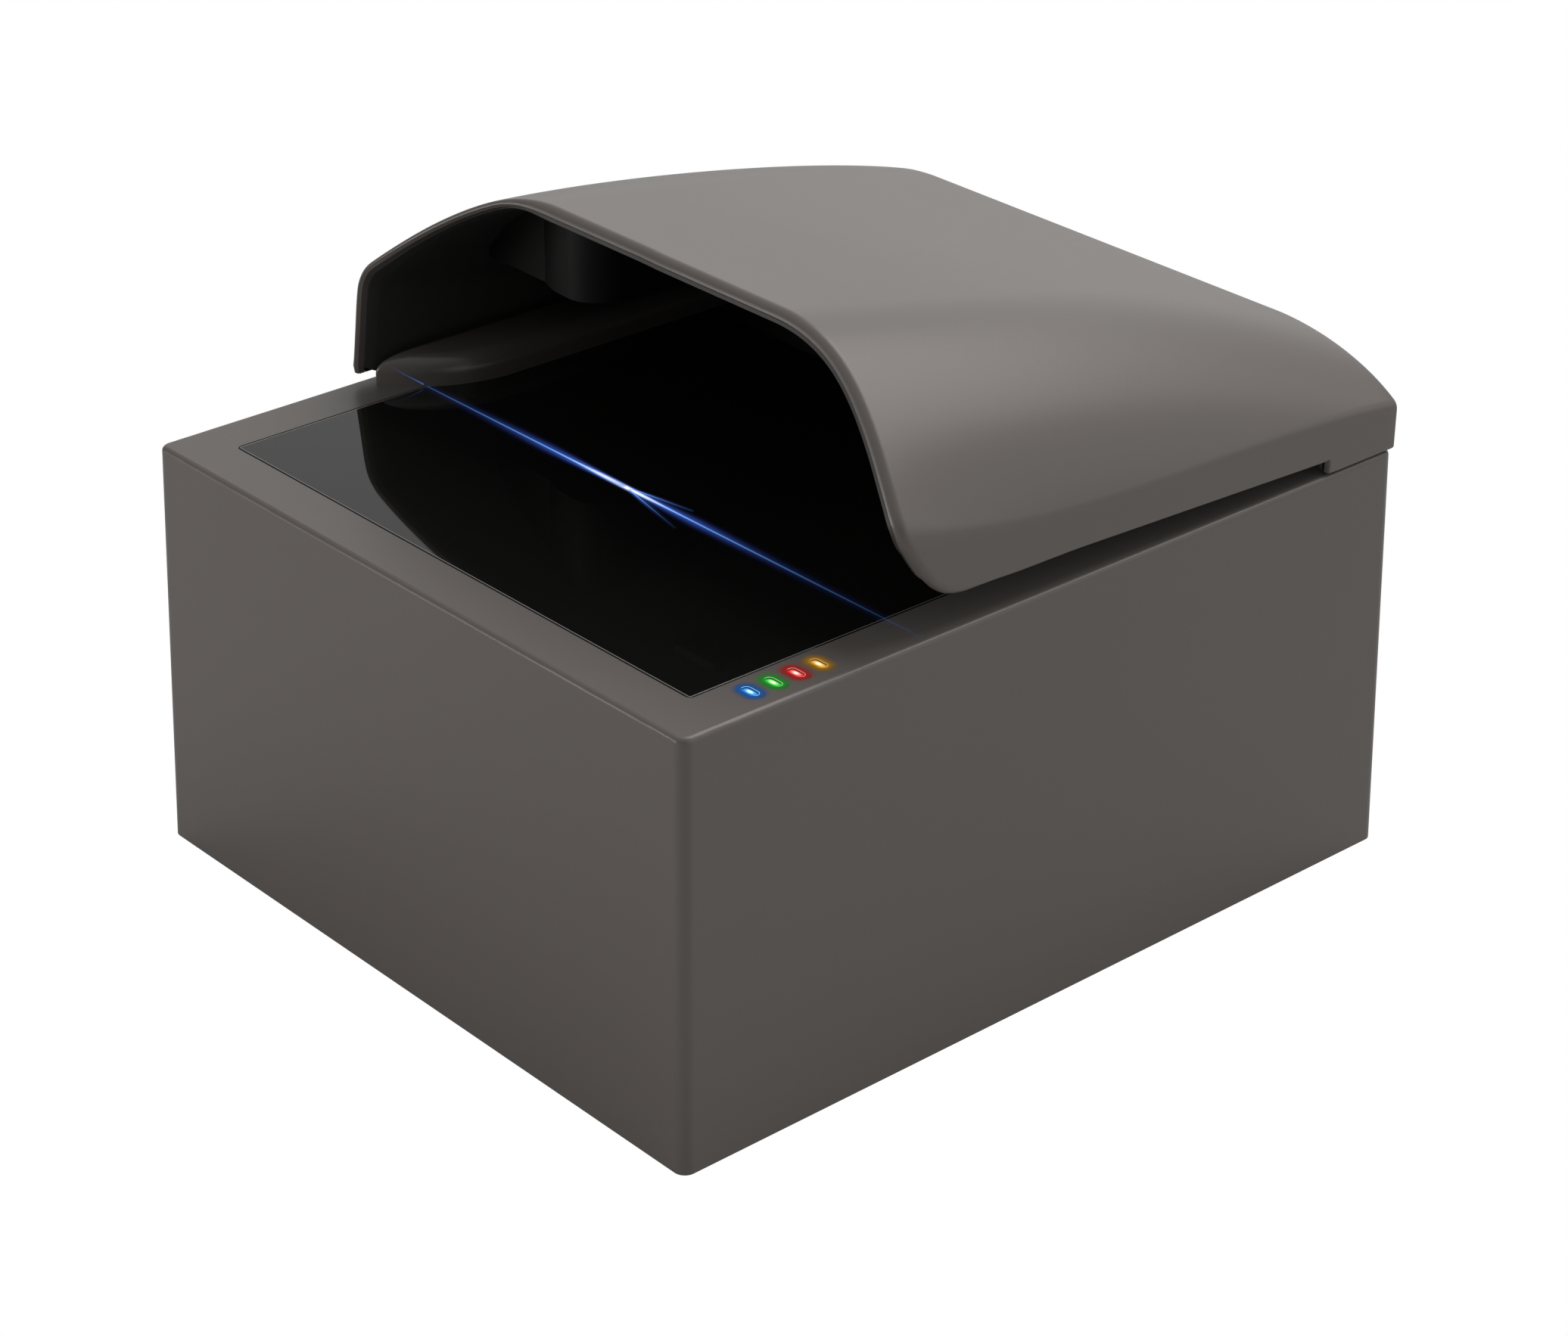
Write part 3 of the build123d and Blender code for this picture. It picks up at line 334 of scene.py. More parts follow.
@dataclass(frozen=True)
class Plastic:
    """A moulded plastic, glass or rubber finish.

    Args:
        name: material name.
        colour: linear base colour.
        roughness: mean roughness.
        spread: how far the roughness wanders.
        grain: number of grains per metre.
        relief: strength of the grain's bump.
        specular: strength of the surface reflection.
        coat: weight of a clear gloss on top.
    """

    name: str
    colour: Triple
    roughness: float = 0.5
    spread: float = 0.06
    grain: float = 1800.0
    relief: float = 0.1
    specular: float = 0.5
    coat: float = 0.0

    def build(self, shared: Effects) -> bpy.types.Material:
        """Makes the material.

        Args:
            shared: the shared effects.

        Returns:
            The material.
        """
        material, tree, shader = start_material(self.name)
        tint = tree.group(shared["tint"], {"Color": (*self.colour, 1.0)})
        grain = tree.group(
            shared["grain"],
            {"Grain Scale": self.grain, "Roughness": self.roughness, "Roughness Spread": self.spread},
        )
        bump = tree.add("Bump", {"Height": grain["Height"], "Strength": self.relief, "Distance": GRAIN_DEPTH})
        tree.fill(shader, {
            "Base Color": tint["Color"], "Roughness": grain["Roughness"], "Normal": bump.outputs["Normal"],
            "Specular IOR Level": self.specular, "Coat Weight": self.coat,
        })
        return material


@dataclass(frozen=True)
class Metal:
    """A plain metal finish.

    Args:
        name: material name.
        colour: linear base colour.
        roughness: mean roughness.
    """

    name: str
    colour: Triple
    roughness: float = 0.3

    def build(self, shared: Effects) -> bpy.types.Material:
        """Makes the material.

        Args:
            shared: the shared effects.

        Returns:
            The material.
        """
        material, tree, shader = start_material(self.name)
        grain = tree.group(shared["grain"], {"Roughness": self.roughness})
        colour = (*self.colour, 1.0)
        tree.fill(shader, {"Roughness": grain["Roughness"], "Base Color": colour, "Metallic": 1.0})
        return material


@dataclass(frozen=True)
class Glow:
    """A lit surface.

    Args:
        name: material name.
        colour: linear colour of the light.
        strength: brightness of the light.
        roughness: roughness of the surface.
    """

    name: str
    colour: Triple
    strength: float = 1.0
    roughness: float = 0.2

    def build(self, shared: Effects) -> bpy.types.Material:
        """Makes the material.

        Args:
            shared: the shared effects, of which it needs none.

        Returns:
            The material.
        """
        material, tree, shader = start_material(self.name)
        colour = (*self.colour, 1.0)
        tree.fill(shader, {
            "Base Color": colour, "Emission Color": colour, "Emission Strength": self.strength,
            "Roughness": self.roughness,
        })
        return material


FINISHES = {
    "case": Plastic("Housing plastic", (0.152, 0.138, 0.128), roughness=0.35),
    "black_plastic": Plastic("Black plastic", (0.006, 0.006, 0.006), roughness=0.6, specular=0.3),
    "guide": Plastic("Guide plastic", (0.12, 0.11, 0.104), roughness=0.25, relief=0.05, specular=0.65),
    "liner": Plastic("Liner", (0.05, 0.05, 0.047), specular=0.4),
    "block": Plastic("Block plastic", (0.004, 0.004, 0.004), roughness=0.55, relief=0.05, specular=0.25),
    "black_metal": Plastic("Black lacquer", (0.01, 0.01, 0.01), roughness=0.35),
    "rubber": Plastic("Rubber", (0.015, 0.015, 0.015), roughness=0.8),
    "window": Plastic("Window glass", (0.0075, 0.0079, 0.0074), roughness=0.03, spread=0.0, relief=0.0),
    "lamp_blue": Glow("Blue lamp", (0.02, 0.2, 1.0), 3.0),
    "lamp_green": Glow("Green lamp", (0.02, 0.8, 0.1), 3.0),
    "lamp_red": Glow("Red lamp", (1.0, 0.03, 0.03), 3.0),
    "lamp_amber": Glow("Amber lamp", (1.0, 0.35, 0.02), 3.0),
    "board": Plastic("Circuit board", (0.01, 0.1, 0.035), roughness=0.35, coat=0.3),
    "diffuser": Plastic("Diffuser", (0.75, 0.75, 0.72), roughness=0.6),
    "optic": Plastic("Optic", (0.02, 0.02, 0.04), roughness=0.03, coat=1.0),
    "steel": Metal("Steel", (0.55, 0.55, 0.56)),
    "socket_metal": Metal("Socket plating", (0.7, 0.7, 0.72), 0.2),
    "cable": Plastic("Flat cable", (0.7, 0.68, 0.6), roughness=0.4),
}
# pale colour that paints part of the window bevel's bright highlight line
BEVEL_HIGHLIGHT_FINISH = Plastic("Polished bevel", (0.24, 0.23, 0.225), roughness=0.25, relief=0.0)


def ease(step: np.ndarray) -> np.ndarray:
    """Eases steps between 0 and 1 in and out."""
    return step * step * (3 - 2 * step)


def smooth_curve(knots: Sequence[Pair], value: np.ndarray) -> np.ndarray:
    """Reads a smooth curve through knots.

    Args:
        knots: pairs of position and height, in rising order of position.
        value: positions to read at.

    Returns:
        The heights there.
    """
    spots, levels = np.array(knots, dtype=float).T
    slopes = np.gradient(levels, spots)
    value = np.clip(value, spots[0], spots[-1])
    i = np.clip(np.searchsorted(spots, value) - 1, 0, len(spots) - 2)
    gap = spots[i + 1] - spots[i]
    t = (value - spots[i]) / gap
    return (
        (2 * t**3 - 3 * t**2 + 1) * levels[i]
        + (t**3 - 2 * t**2 + t) * gap * slopes[i]
        + (3 * t**2 - 2 * t**3) * levels[i + 1]
        + (t**3 - t**2) * gap * slopes[i + 1]
    )


def smooth_path(knots: Sequence[Pair], count: int) -> np.ndarray:
    """Draws a smooth plane path through knots.

    Args:
        knots: the path's knots, in order.
        count: number of points.

    Returns:
        The points, evenly spread between the knots' chords.
    """
    spots = np.array(knots, dtype=float)
    length = np.concatenate([[0.0], np.cumsum(np.hypot(*np.diff(spots, axis=0).T))])
    place = np.linspace(0.0, length[-1], count)
    lines = [smooth_curve(list(zip(length, spots[:, axis])), place) for axis in (0, 1)]
    return np.stack(lines, axis=1)


def unit(rows: np.ndarray) -> np.ndarray:
    """Scales each row to length 1."""
    return rows / np.linalg.norm(rows, axis=1, keepdims=True)


def flat_ring(x: np.ndarray, y: np.ndarray, level: float) -> np.ndarray:
    """Puts plane points at a height."""
    return np.column_stack([x, y, np.full(len(x), level)])


@dataclass
class MeshBuilder:
    """Collects points in millimetres and turns them into one mesh object.

    Args:
        points: the points.
        faces: the faces, as indices into the points.
    """

    points: list[Triple] = field(default_factory=list)
    faces: list[tuple[int, ...]] = field(default_factory=list)

    def add_points(self, points: np.ndarray) -> np.ndarray:
        """Adds points.

        Args:
            points: an array whose last axis is X, Y, Z.

        Returns:
            Their indices, in the array's own shape.
        """
        flat = points.reshape(-1, 3)
        first = len(self.points)
        self.points.extend(map(tuple, flat))
        return np.arange(first, first + len(flat)).reshape(points.shape[:-1])

    def add_quads(self, index: np.ndarray, loop: bool = False) -> None:
        """Adds the quads between neighbouring rows and columns of point indices.

        Args:
            index: rows by columns of point indices.
            loop: also join the last column to the first.
        """
        if loop:
            index = np.concatenate([index, index[:, :1]], axis=1)
        corners = np.stack([index[:-1, :-1], index[:-1, 1:], index[1:, 1:], index[1:, :-1]], axis=-1)
        self.faces.extend(tuple(int(i) for i in quad) for quad in corners.reshape(-1, 4))

    def add_face(self, index: Sequence[int]) -> None:
        """Adds one face with its point indices in order."""
        self.faces.append(tuple(int(i) for i in index))

    def add_rings(self, rings: Sequence[np.ndarray], caps: bool = True) -> None:
        """Joins closed rings of equally many points.

        Args:
            rings: the rings, in order.
            caps: close both ends to a solid.
        """
        index = self.add_points(np.stack(rings))
        self.add_quads(index, loop=True)
        if caps:
            self.add_face(index[0])
            self.add_face(index[-1][::-1])

    def build(self, name: str, material: bpy.types.Material, crease: float = 32.0) -> bpy.types.Object:
        """Makes the object.

        Args:
            name: the object's name.
            material: its finish.
            crease: angle in degrees above which an edge stays sharp.

        Returns:
            The object, linked to the scene.
        """
        mesh = bpy.data.meshes.new(name)
        mesh.from_pydata([tuple(c * MM for c in p) for p in self.points], [], self.faces)
        work = bmesh.new()
        work.from_mesh(mesh)
        bmesh.ops.remove_doubles(work, verts=work.verts, dist=1e-6)
        bmesh.ops.dissolve_degenerate(work, edges=work.edges, dist=1e-7)
        bmesh.ops.recalc_face_normals(work, faces=work.faces)
        work.to_mesh(mesh)
        work.free()
        mesh.shade_smooth()
        mesh.set_sharp_from_angle(angle=math.radians(crease))
        mesh.materials.append(material)
        piece = bpy.data.objects.new(name, mesh)
        bpy.context.scene.collection.objects.link(piece)
        return piece


def mount(piece: bpy.types.Object, body: Body = Body.HOUSING, replaced: str | None = None) -> None:
    """Ties a piece that is in its place to the CAD.

    Args:
        piece: the piece.
        body: the body that it rides on.
        replaced: the CAD node that it stands for.
    """
    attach(piece, body.value)
    if replaced:
        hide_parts(replaced)
    log.info("%s: %d points on the %s", piece.name, len(piece.data.vertices), body.value)


class Span(Enum):
    """Stretches of the hood's half section, from the middle of the roof down to the wall's foot."""

    FLAT = 6
    CROWN = 12
    SHOULDER = 24
    EDGE = 15
    WALL = 13


@dataclass(frozen=True)
class SideEdge:
    """One side's lip in side view, and the line that runs a rounding inside the lip and the hem.

    Args:
        lip: the lip's points, top to bottom.
        lip_inside: the same points a rounding inside.
        lip_radius: the roundings there.
        hem_inside: the hem's points a rounding inside, front to rear.
        hem_radius: the roundings there.
    """

    lip: np.ndarray
    lip_inside: np.ndarray
    lip_radius: np.ndarray
    hem_inside: np.ndarray
    hem_radius: np.ndarray


@dataclass
class HoodSurface:
    """The hood's outer surface, read from the housing's front edge and top, in millimetres.

    Args:
        half: half the hood's width.
        front: where the even stations start.
        run: how far they run.
        back: the rear wall.
        roof: roof heights at four even stations.
        flat: half widths of the flat roof there, on the right.
        left_flat: the same on the left.
        wall: heights of the side walls there.
        crown: radius of the roof's bend at the front and rear, on the right.
        left_crown: the same on the left.
        crown_sine: sine of the angle where that bend ends, on the right.
        left_sine: the same on the left.
        edge: radius of the bend into the wall at the front and rear.
        left_edge: side view of the lip and the hem on the left, as places and heights.
        right_edge: the same on the right, where the slot's front end turns up into the lip.
        left_fade: how far before its corner the left lip's rounding starts to shrink, and over what length.
        right_fade: the same on the right.
        notch: where the low rear skirt starts.
        rear_gap: height of the hem behind the notch.
        lip_round: rounding along the lip over the roof and on the right.
        left_round: rounding along the lip on the left.
        hem_round: rounding along the hem.
        lip_thickness: thickness at the lip.
        thickness: thickness behind the lip.
        rear_round: rounding of the rear edge along the roof.
        corner_round: rounding of the rear edge along the walls.
        sharpest: smallest radius that an inner surface keeps.
        guess: place where the search for the lip starts.
        rounds: number of steps in that search.
        edge_points: points along a side's edge.
        row_count: rows in front of the notch.
        rear_count: rows behind it.
        turn_count: rows over the rounding at the rear, with the one that it starts from.
        bunching: how much closer together they lie at the lip, where 1 spreads them evenly.
        step: half the length over which the hem steps down at the notch.
    """

    half: float = 82.9
    front: float = 50.0
    run: float = 135.0
    back: float = 190.7
    roof: tuple[float, ...] = (52.84, 44.2, 35.5, 22.31)
    flat: tuple[float, ...] = (31.8, 37.6, 41.6, 49.98)
    left_flat: tuple[float, ...] = (28.9, 38.85, 41.6, 49.98)
    wall: tuple[float, ...] = (20.8, 13.3, 11.6, 9.31)
    crown: Pair = (47.9, 61.2)
    left_crown: Pair = (41.4, 61.2)
    crown_sine: Pair = (0.483, 0.05)
    left_sine: Pair = (0.445, 0.05)
    edge: Pair = (9.5, 3.0)
    left_edge: tuple[Pair, ...] = (
        (73.6, 72.0), (69.4, 61.0), (64.1, 48.6), (55.9, 36.0), (52.9, 29.0), (50.95, 21.0),
        (49.85, 12.0), (49.2, 5.5), (49.05, 3.2), (49.3, 2.2), (50.2, 1.74), (52.0, 1.7), (60.0, 1.7),
        (100.0, 1.7), (171.0, 1.7),
    )
    right_edge: tuple[Pair, ...] = (
        (77.5, 72.0), (71.1, 61.0), (63.7, 48.6), (56.9, 36.0), (54.0, 29.1), (52.9, 25.5), (52.9, 22.4),
        (55.8, 16.3), (59.5, 11.8), (64.1, 8.8), (70.5, 7.75), (100.0, 6.43), (171.0, 3.26),
    )
    left_fade: Pair = (6.0, 5.0)
    right_fade: Pair = (4.0, 16.0)
    notch: float = 170.0
    rear_gap: float = 0.3
    lip_round: float = 1.95
    left_round: float = 0.75
    hem_round: float = 0.45
    lip_thickness: float = 2.2
    thickness: float = 1.5
    rear_round: float = 3.7
    corner_round: float = 1.3
    sharpest: float = 0.02
    guess: float = 56.0
    rounds: int = 80
    edge_points: int = 1500
    row_count: int = 64
    rear_count: int = 9
    turn_count: int = 9
    bunching: float = 1.6
    step: float = 0.01

    def __post_init__(self) -> None:
        """Lists the section's columns and draws the edges of both sides."""
        self.kind, self.fraction, self.side = self.columns()
        self.sides = (
            self.draw_edge(self.left_edge, self.left_round, *self.left_fade),
            self.draw_edge(self.right_edge, self.lip_round, *self.right_fade),
        )

    def draw_edge(self, knots: Sequence[Pair], rounding: float, lead: float, run: float) -> SideEdge:
        """Draws one side's edge and splits it into its lip and its hem.

        Args:
            knots: the side view's knots, from the roof down and back.
            rounding: rounding along the lip.
            lead: how far before the corner the rounding starts to shrink.
            run: length over which it shrinks to the hem's.

        Returns:
            The edge.
        """
        path = smooth_path(knots, self.edge_points)
        step = unit(np.gradient(path, axis=0))
        turn = int(np.argmax(step[:, 0] >= -step[:, 1]))
        length = np.concatenate([[0.0], np.cumsum(np.linalg.norm(np.diff(path, axis=0), axis=1))])
        fade = ease(np.clip((length - length[turn] + lead) / run, 0, 1))
        radius = rounding + (self.hem_round - rounding) * fade
        inside = path + np.stack([-step[:, 1], step[:, 0]], axis=1) * radius[:, None]
        lip, hem = inside[: turn + 1].copy(), inside[turn:].copy()
        lip[:, 1] = np.minimum.accumulate(lip[:, 1])
        hem[:, 0] = np.maximum.accumulate(hem[:, 0])
        return SideEdge(path[: turn + 1], lip, radius[: turn + 1], hem, radius[turn:])

    def columns(self) -> tuple[np.ndarray, np.ndarray, np.ndarray]:
        """Lists the section's columns from the left foot over the roof to the right foot.

        Returns:
            The stretch, the fraction along it and the side of each column.
        """
        pairs = [(0, 0.0)]
        for number, span in enumerate(Span):
            pairs += [(number, step / span.value) for step in range(1, span.value + 1)]
        kind, fraction = (np.array(values) for values in zip(*pairs))
        side = np.concatenate([-np.ones(len(kind) - 1), np.ones(len(kind))])
        return np.concatenate([kind[:0:-1], kind]), np.concatenate([fraction[:0:-1], fraction]), side

    def along(self, values: Sequence[float], y: np.ndarray) -> np.ndarray:
        """Reads a value that is given at the front and rear, or at four even stations.

        Args:
            values: two or four values.
            y: places from the housing's front edge.

        Returns:
            The values there.
        """
        last = len(values) - 1
        step = last * (y - self.front) / self.run
        total = np.zeros_like(step)
        for i, value in enumerate(values):
            weight = np.ones_like(step)
            for j in range(last + 1):
                if j != i:
                    weight = weight * (step - j) / (i - j)
            total = total + value * weight
        return total

    def pick(self, left: np.ndarray, right: np.ndarray) -> np.ndarray:
        """Takes each column's value from its own side."""
        return np.where(self.side > 0, right, left)

    def foot(self, y: np.ndarray) -> np.ndarray:
        """Reads the height above the housing's top where the wall ends and the hem's rounding starts."""
        height = self.pick(*(np.interp(y, *edge.hem_inside.T) for edge in self.sides))
        return np.where(y > self.notch + self.hem_round, self.rear_gap + self.hem_round, height)

    def point(self, y: np.ndarray, inset: float | np.ndarray) -> np.ndarray:
        """Reads surface points, one for each column.

        Args:
            y: each column's place from the housing's front edge.
            inset: how far inside the surface, the same for all or one for each.

        Returns:
            The points in the row frame.
        """
        kind, fraction = self.kind, self.fraction
        roof, wall, edge = (self.along(values, y) for values in (self.roof, self.wall, self.edge))
        flat, crown, sine = (
            self.pick(self.along(left, y), self.along(right, y))
            for left, right in (
                (self.left_flat, self.flat), (self.left_crown, self.crown), (self.left_sine, self.crown_sine)
            )
        )
        cosine = np.sqrt(1 - sine**2)
        run_x = flat + crown * sine - (self.half - edge)
        run_z = roof - crown * (1 - cosine) - wall
        shoulder = (run_x**2 + run_z**2 - edge**2) / (2 * (run_x * sine + run_z * cosine - edge))
        low = np.arcsin(sine)
        high = np.arctan2(shoulder * sine - run_x, shoulder * cosine - run_z)
        bend = np.maximum(edge - inset, self.sharpest)
        shoulder_x, shoulder_z = flat + (crown - shoulder) * sine, roof - crown + (crown - shoulder) * cosine
        edge_x = self.half - edge + np.minimum(edge - inset, 0.0)
        turn = np.select(
            [kind == 1, kind == 2, kind == 3],
            [low * fraction, low + (high - low) * fraction, high + (QUARTER - high) * fraction],
        )
        chosen = [kind == n for n in range(len(Span))]
        across = np.select(chosen, [
            flat * fraction,
            flat + (crown - inset) * np.sin(turn),
            shoulder_x + (shoulder - inset) * np.sin(turn),
            edge_x + bend * np.sin(turn),
            edge_x + bend,
        ])
        up = np.select(chosen, [
            roof - inset,
            roof - crown + (crown - inset) * np.cos(turn),
            shoulder_z + (shoulder - inset) * np.cos(turn),
            wall + bend * np.cos(turn),
            wall + (self.foot(y) - wall) * fraction,
        ])
        return np.stack([self.side * across, y + FRONT, up + TOP], axis=-1)

    def meet(self, inside: bool) -> np.ndarray:
        """Finds where each column meets the lip, or the line a rounding inside.

        Args:
            inside: take the line inside.

        Returns:
            Each column's place from the housing's front edge.
        """
        y = np.full(len(self.side), self.guess)
        spots = [edge.lip_inside if inside else edge.lip for edge in self.sides]
        for _ in range(self.rounds):
            z = self.point(y, 0.0)[:, 2] - TOP
            y = 0.5 * y + 0.5 * self.pick(*(np.interp(z, line[::-1, 1], line[::-1, 0]) for line in spots))
        return y

    def starts(self) -> tuple[np.ndarray, np.ndarray]:
        """Finds where each column's surface gives way to the lip's rounding.

        Returns:
            Each column's place from the front edge, and the rounding there.
        """
        kind, smooth = self.kind, ease(self.fraction)
        edge = self.meet(False)
        here = self.point(edge, 0.0)
        reach, least = 0.05, 0.2
        rise = (self.point(edge + reach, 0.0) - here) / reach
        slant = np.einsum("ij,ij->i", rise, unit(np.gradient(here, axis=0)))
        lean = np.sqrt(np.maximum(np.einsum("ij,ij->i", rise, rise) - slant**2, least))
        z = here[:, 2] - TOP
        left, right = (np.interp(z, one.lip[::-1, 1], one.lip_radius[::-1]) for one in self.sides)
        roof = np.select([kind < 1, kind == 1], [1.0, 1.0 - smooth], 0.0)
        radius = self.pick(left + (self.lip_round - self.left_round) * roof, right)
        share = np.select([kind == 3, kind == 4], [smooth, 1.0], 0.0)
        return (1 - share) * (edge + radius / lean) + share * self.meet(True), radius

    def end_rounding(self) -> np.ndarray:
        """Gives each column's rounding at the rear."""
        share = np.select([self.kind < 2, self.kind == 2], [0.0, ease(self.fraction)], 1.0)
        return self.rear_round + (self.corner_round - self.rear_round) * share

    def rows(self, start: np.ndarray, inset: float | np.ndarray, rear: np.ndarray) -> np.ndarray:
        """Makes rows of points from each column's start to the rear wall, closest at the lip.

        Args:
            start: each column's first place.
            inset: how far inside the surface, the same for all or one for each.
            rear: each column's rounding at the rear.

        Returns:
            Rows by columns of points, front to rear.
        """
        notch = self.notch + self.hem_round
        before, after, last = notch - self.step, notch + self.step, self.back - inset - rear
        places = [start + (before - start) * t**self.bunching for t in np.linspace(0, 1, self.row_count)]
        places += [after + (last - after) * t for t in np.linspace(0, 1, self.rear_count)]
        grid = [self.point(place, inset) for place in places]
        for turn in np.linspace(0, QUARTER, self.turn_count)[1:]:
            place = self.back - inset - rear * (1 - math.sin(turn))
            grid.append(self.point(place, inset + rear * (1 - math.cos(turn))))
        return np.stack(grid)


@dataclass(frozen=True)
class Brim:
    """The outer skin's boundary, from the left rear foot over the lip to the right rear foot.

    Args:
        point: places where the skin ends.
        normal: outward directions.
        forward: directions out of the skin, over its edge.
        radius: rounding at each place.
        depth: thickness at each place.
        thin: 1 where the edge is drawn out thin on the left, 0 on the roof and on the right.
        lip: the stretch that runs along the lip.
    """

    point: np.ndarray
    normal: np.ndarray
    forward: np.ndarray
    radius: np.ndarray
    depth: np.ndarray
    thin: np.ndarray
    lip: slice

    def offset(self, forward: np.ndarray, depth: np.ndarray) -> np.ndarray:
        """Reads places that lie over the edge and below the surface by the given distances."""
        return self.point + forward[:, None] * self.forward - depth[:, None] * self.normal


def border(grid: np.ndarray) -> np.ndarray:
    """Lists a grid's open border from the left rear: left column, front row, right column."""
    return np.concatenate([grid[:0:-1, 0], grid[0], grid[1:, -1]])


def draw_brim(surface: HoodSurface, grid: np.ndarray, radius: np.ndarray) -> Brim:
    """Finds the directions along the skin's boundary.

    Args:
        surface: the hood's outer surface.
        grid: the skin's points, rows by columns.
        radius: the lip's rounding at each column.

    Returns:
        The boundary.
    """
    normal = np.cross(np.gradient(grid, axis=1), np.gradient(grid, axis=0))
    point, normal = border(grid), border(normal)
    step = np.diff(point, axis=0)
    step /= np.linalg.norm(step, axis=1, keepdims=True) + 1e-9
    tangent = unit(np.concatenate([step[:1], step[1:] + step[:-1], step[-1:]]))
    normal = unit(normal - np.einsum("ij,ij->i", normal, tangent)[:, None] * tangent)
    y = grid[:, 0, 1] - FRONT
    left, right = (np.interp(y, edge.hem_inside[:, 0], edge.hem_radius) for edge in surface.sides)
    bend = np.concatenate([left[:0:-1], radius, right[1:]])
    fade = (bend - surface.hem_round) / (surface.lip_round - surface.hem_round)
    depth = surface.thickness + (surface.lip_thickness - surface.thickness) * fade
    thin = np.clip((surface.lip_round - bend) / (surface.lip_round - surface.left_round), 0, 1)
    thin[len(thin) // 2 :] = 0.0
    first = (len(point) - len(radius)) // 2
    lip = slice(first, first + len(radius))
    return Brim(point, normal, np.cross(tangent, normal), bend, depth, thin, lip)


def add_shell(mesh: MeshBuilder, outer: np.ndarray, inner: np.ndarray, profile: Sequence[np.ndarray]) -> None:
    """Adds a shell that is open at the front and at the sides, and closed at the rear.

    Args:
        mesh: the builder that takes it.
        outer: the outer surface's points, rows by columns.
        inner: the inner surface's points.
        profile: lines of points between their borders, from the outer to the inner one.
    """
    outside, inside = mesh.add_points(outer), mesh.add_points(inner)
    lines = [mesh.add_points(line) for line in profile]
    mesh.add_quads(outside)
    mesh.add_quads(inside)
    mesh.add_quads(np.stack([border(outside), *lines, border(inside)]))
    mesh.add_face(outside[-1])
    mesh.add_face(inside[-1])
    left, right = ([line[end] for line in lines] for end in (0, -1))
    mesh.add_face([outside[-1, 0], *left, inside[-1, 0], inside[-1, -1], *right[::-1], outside[-1, -1]])


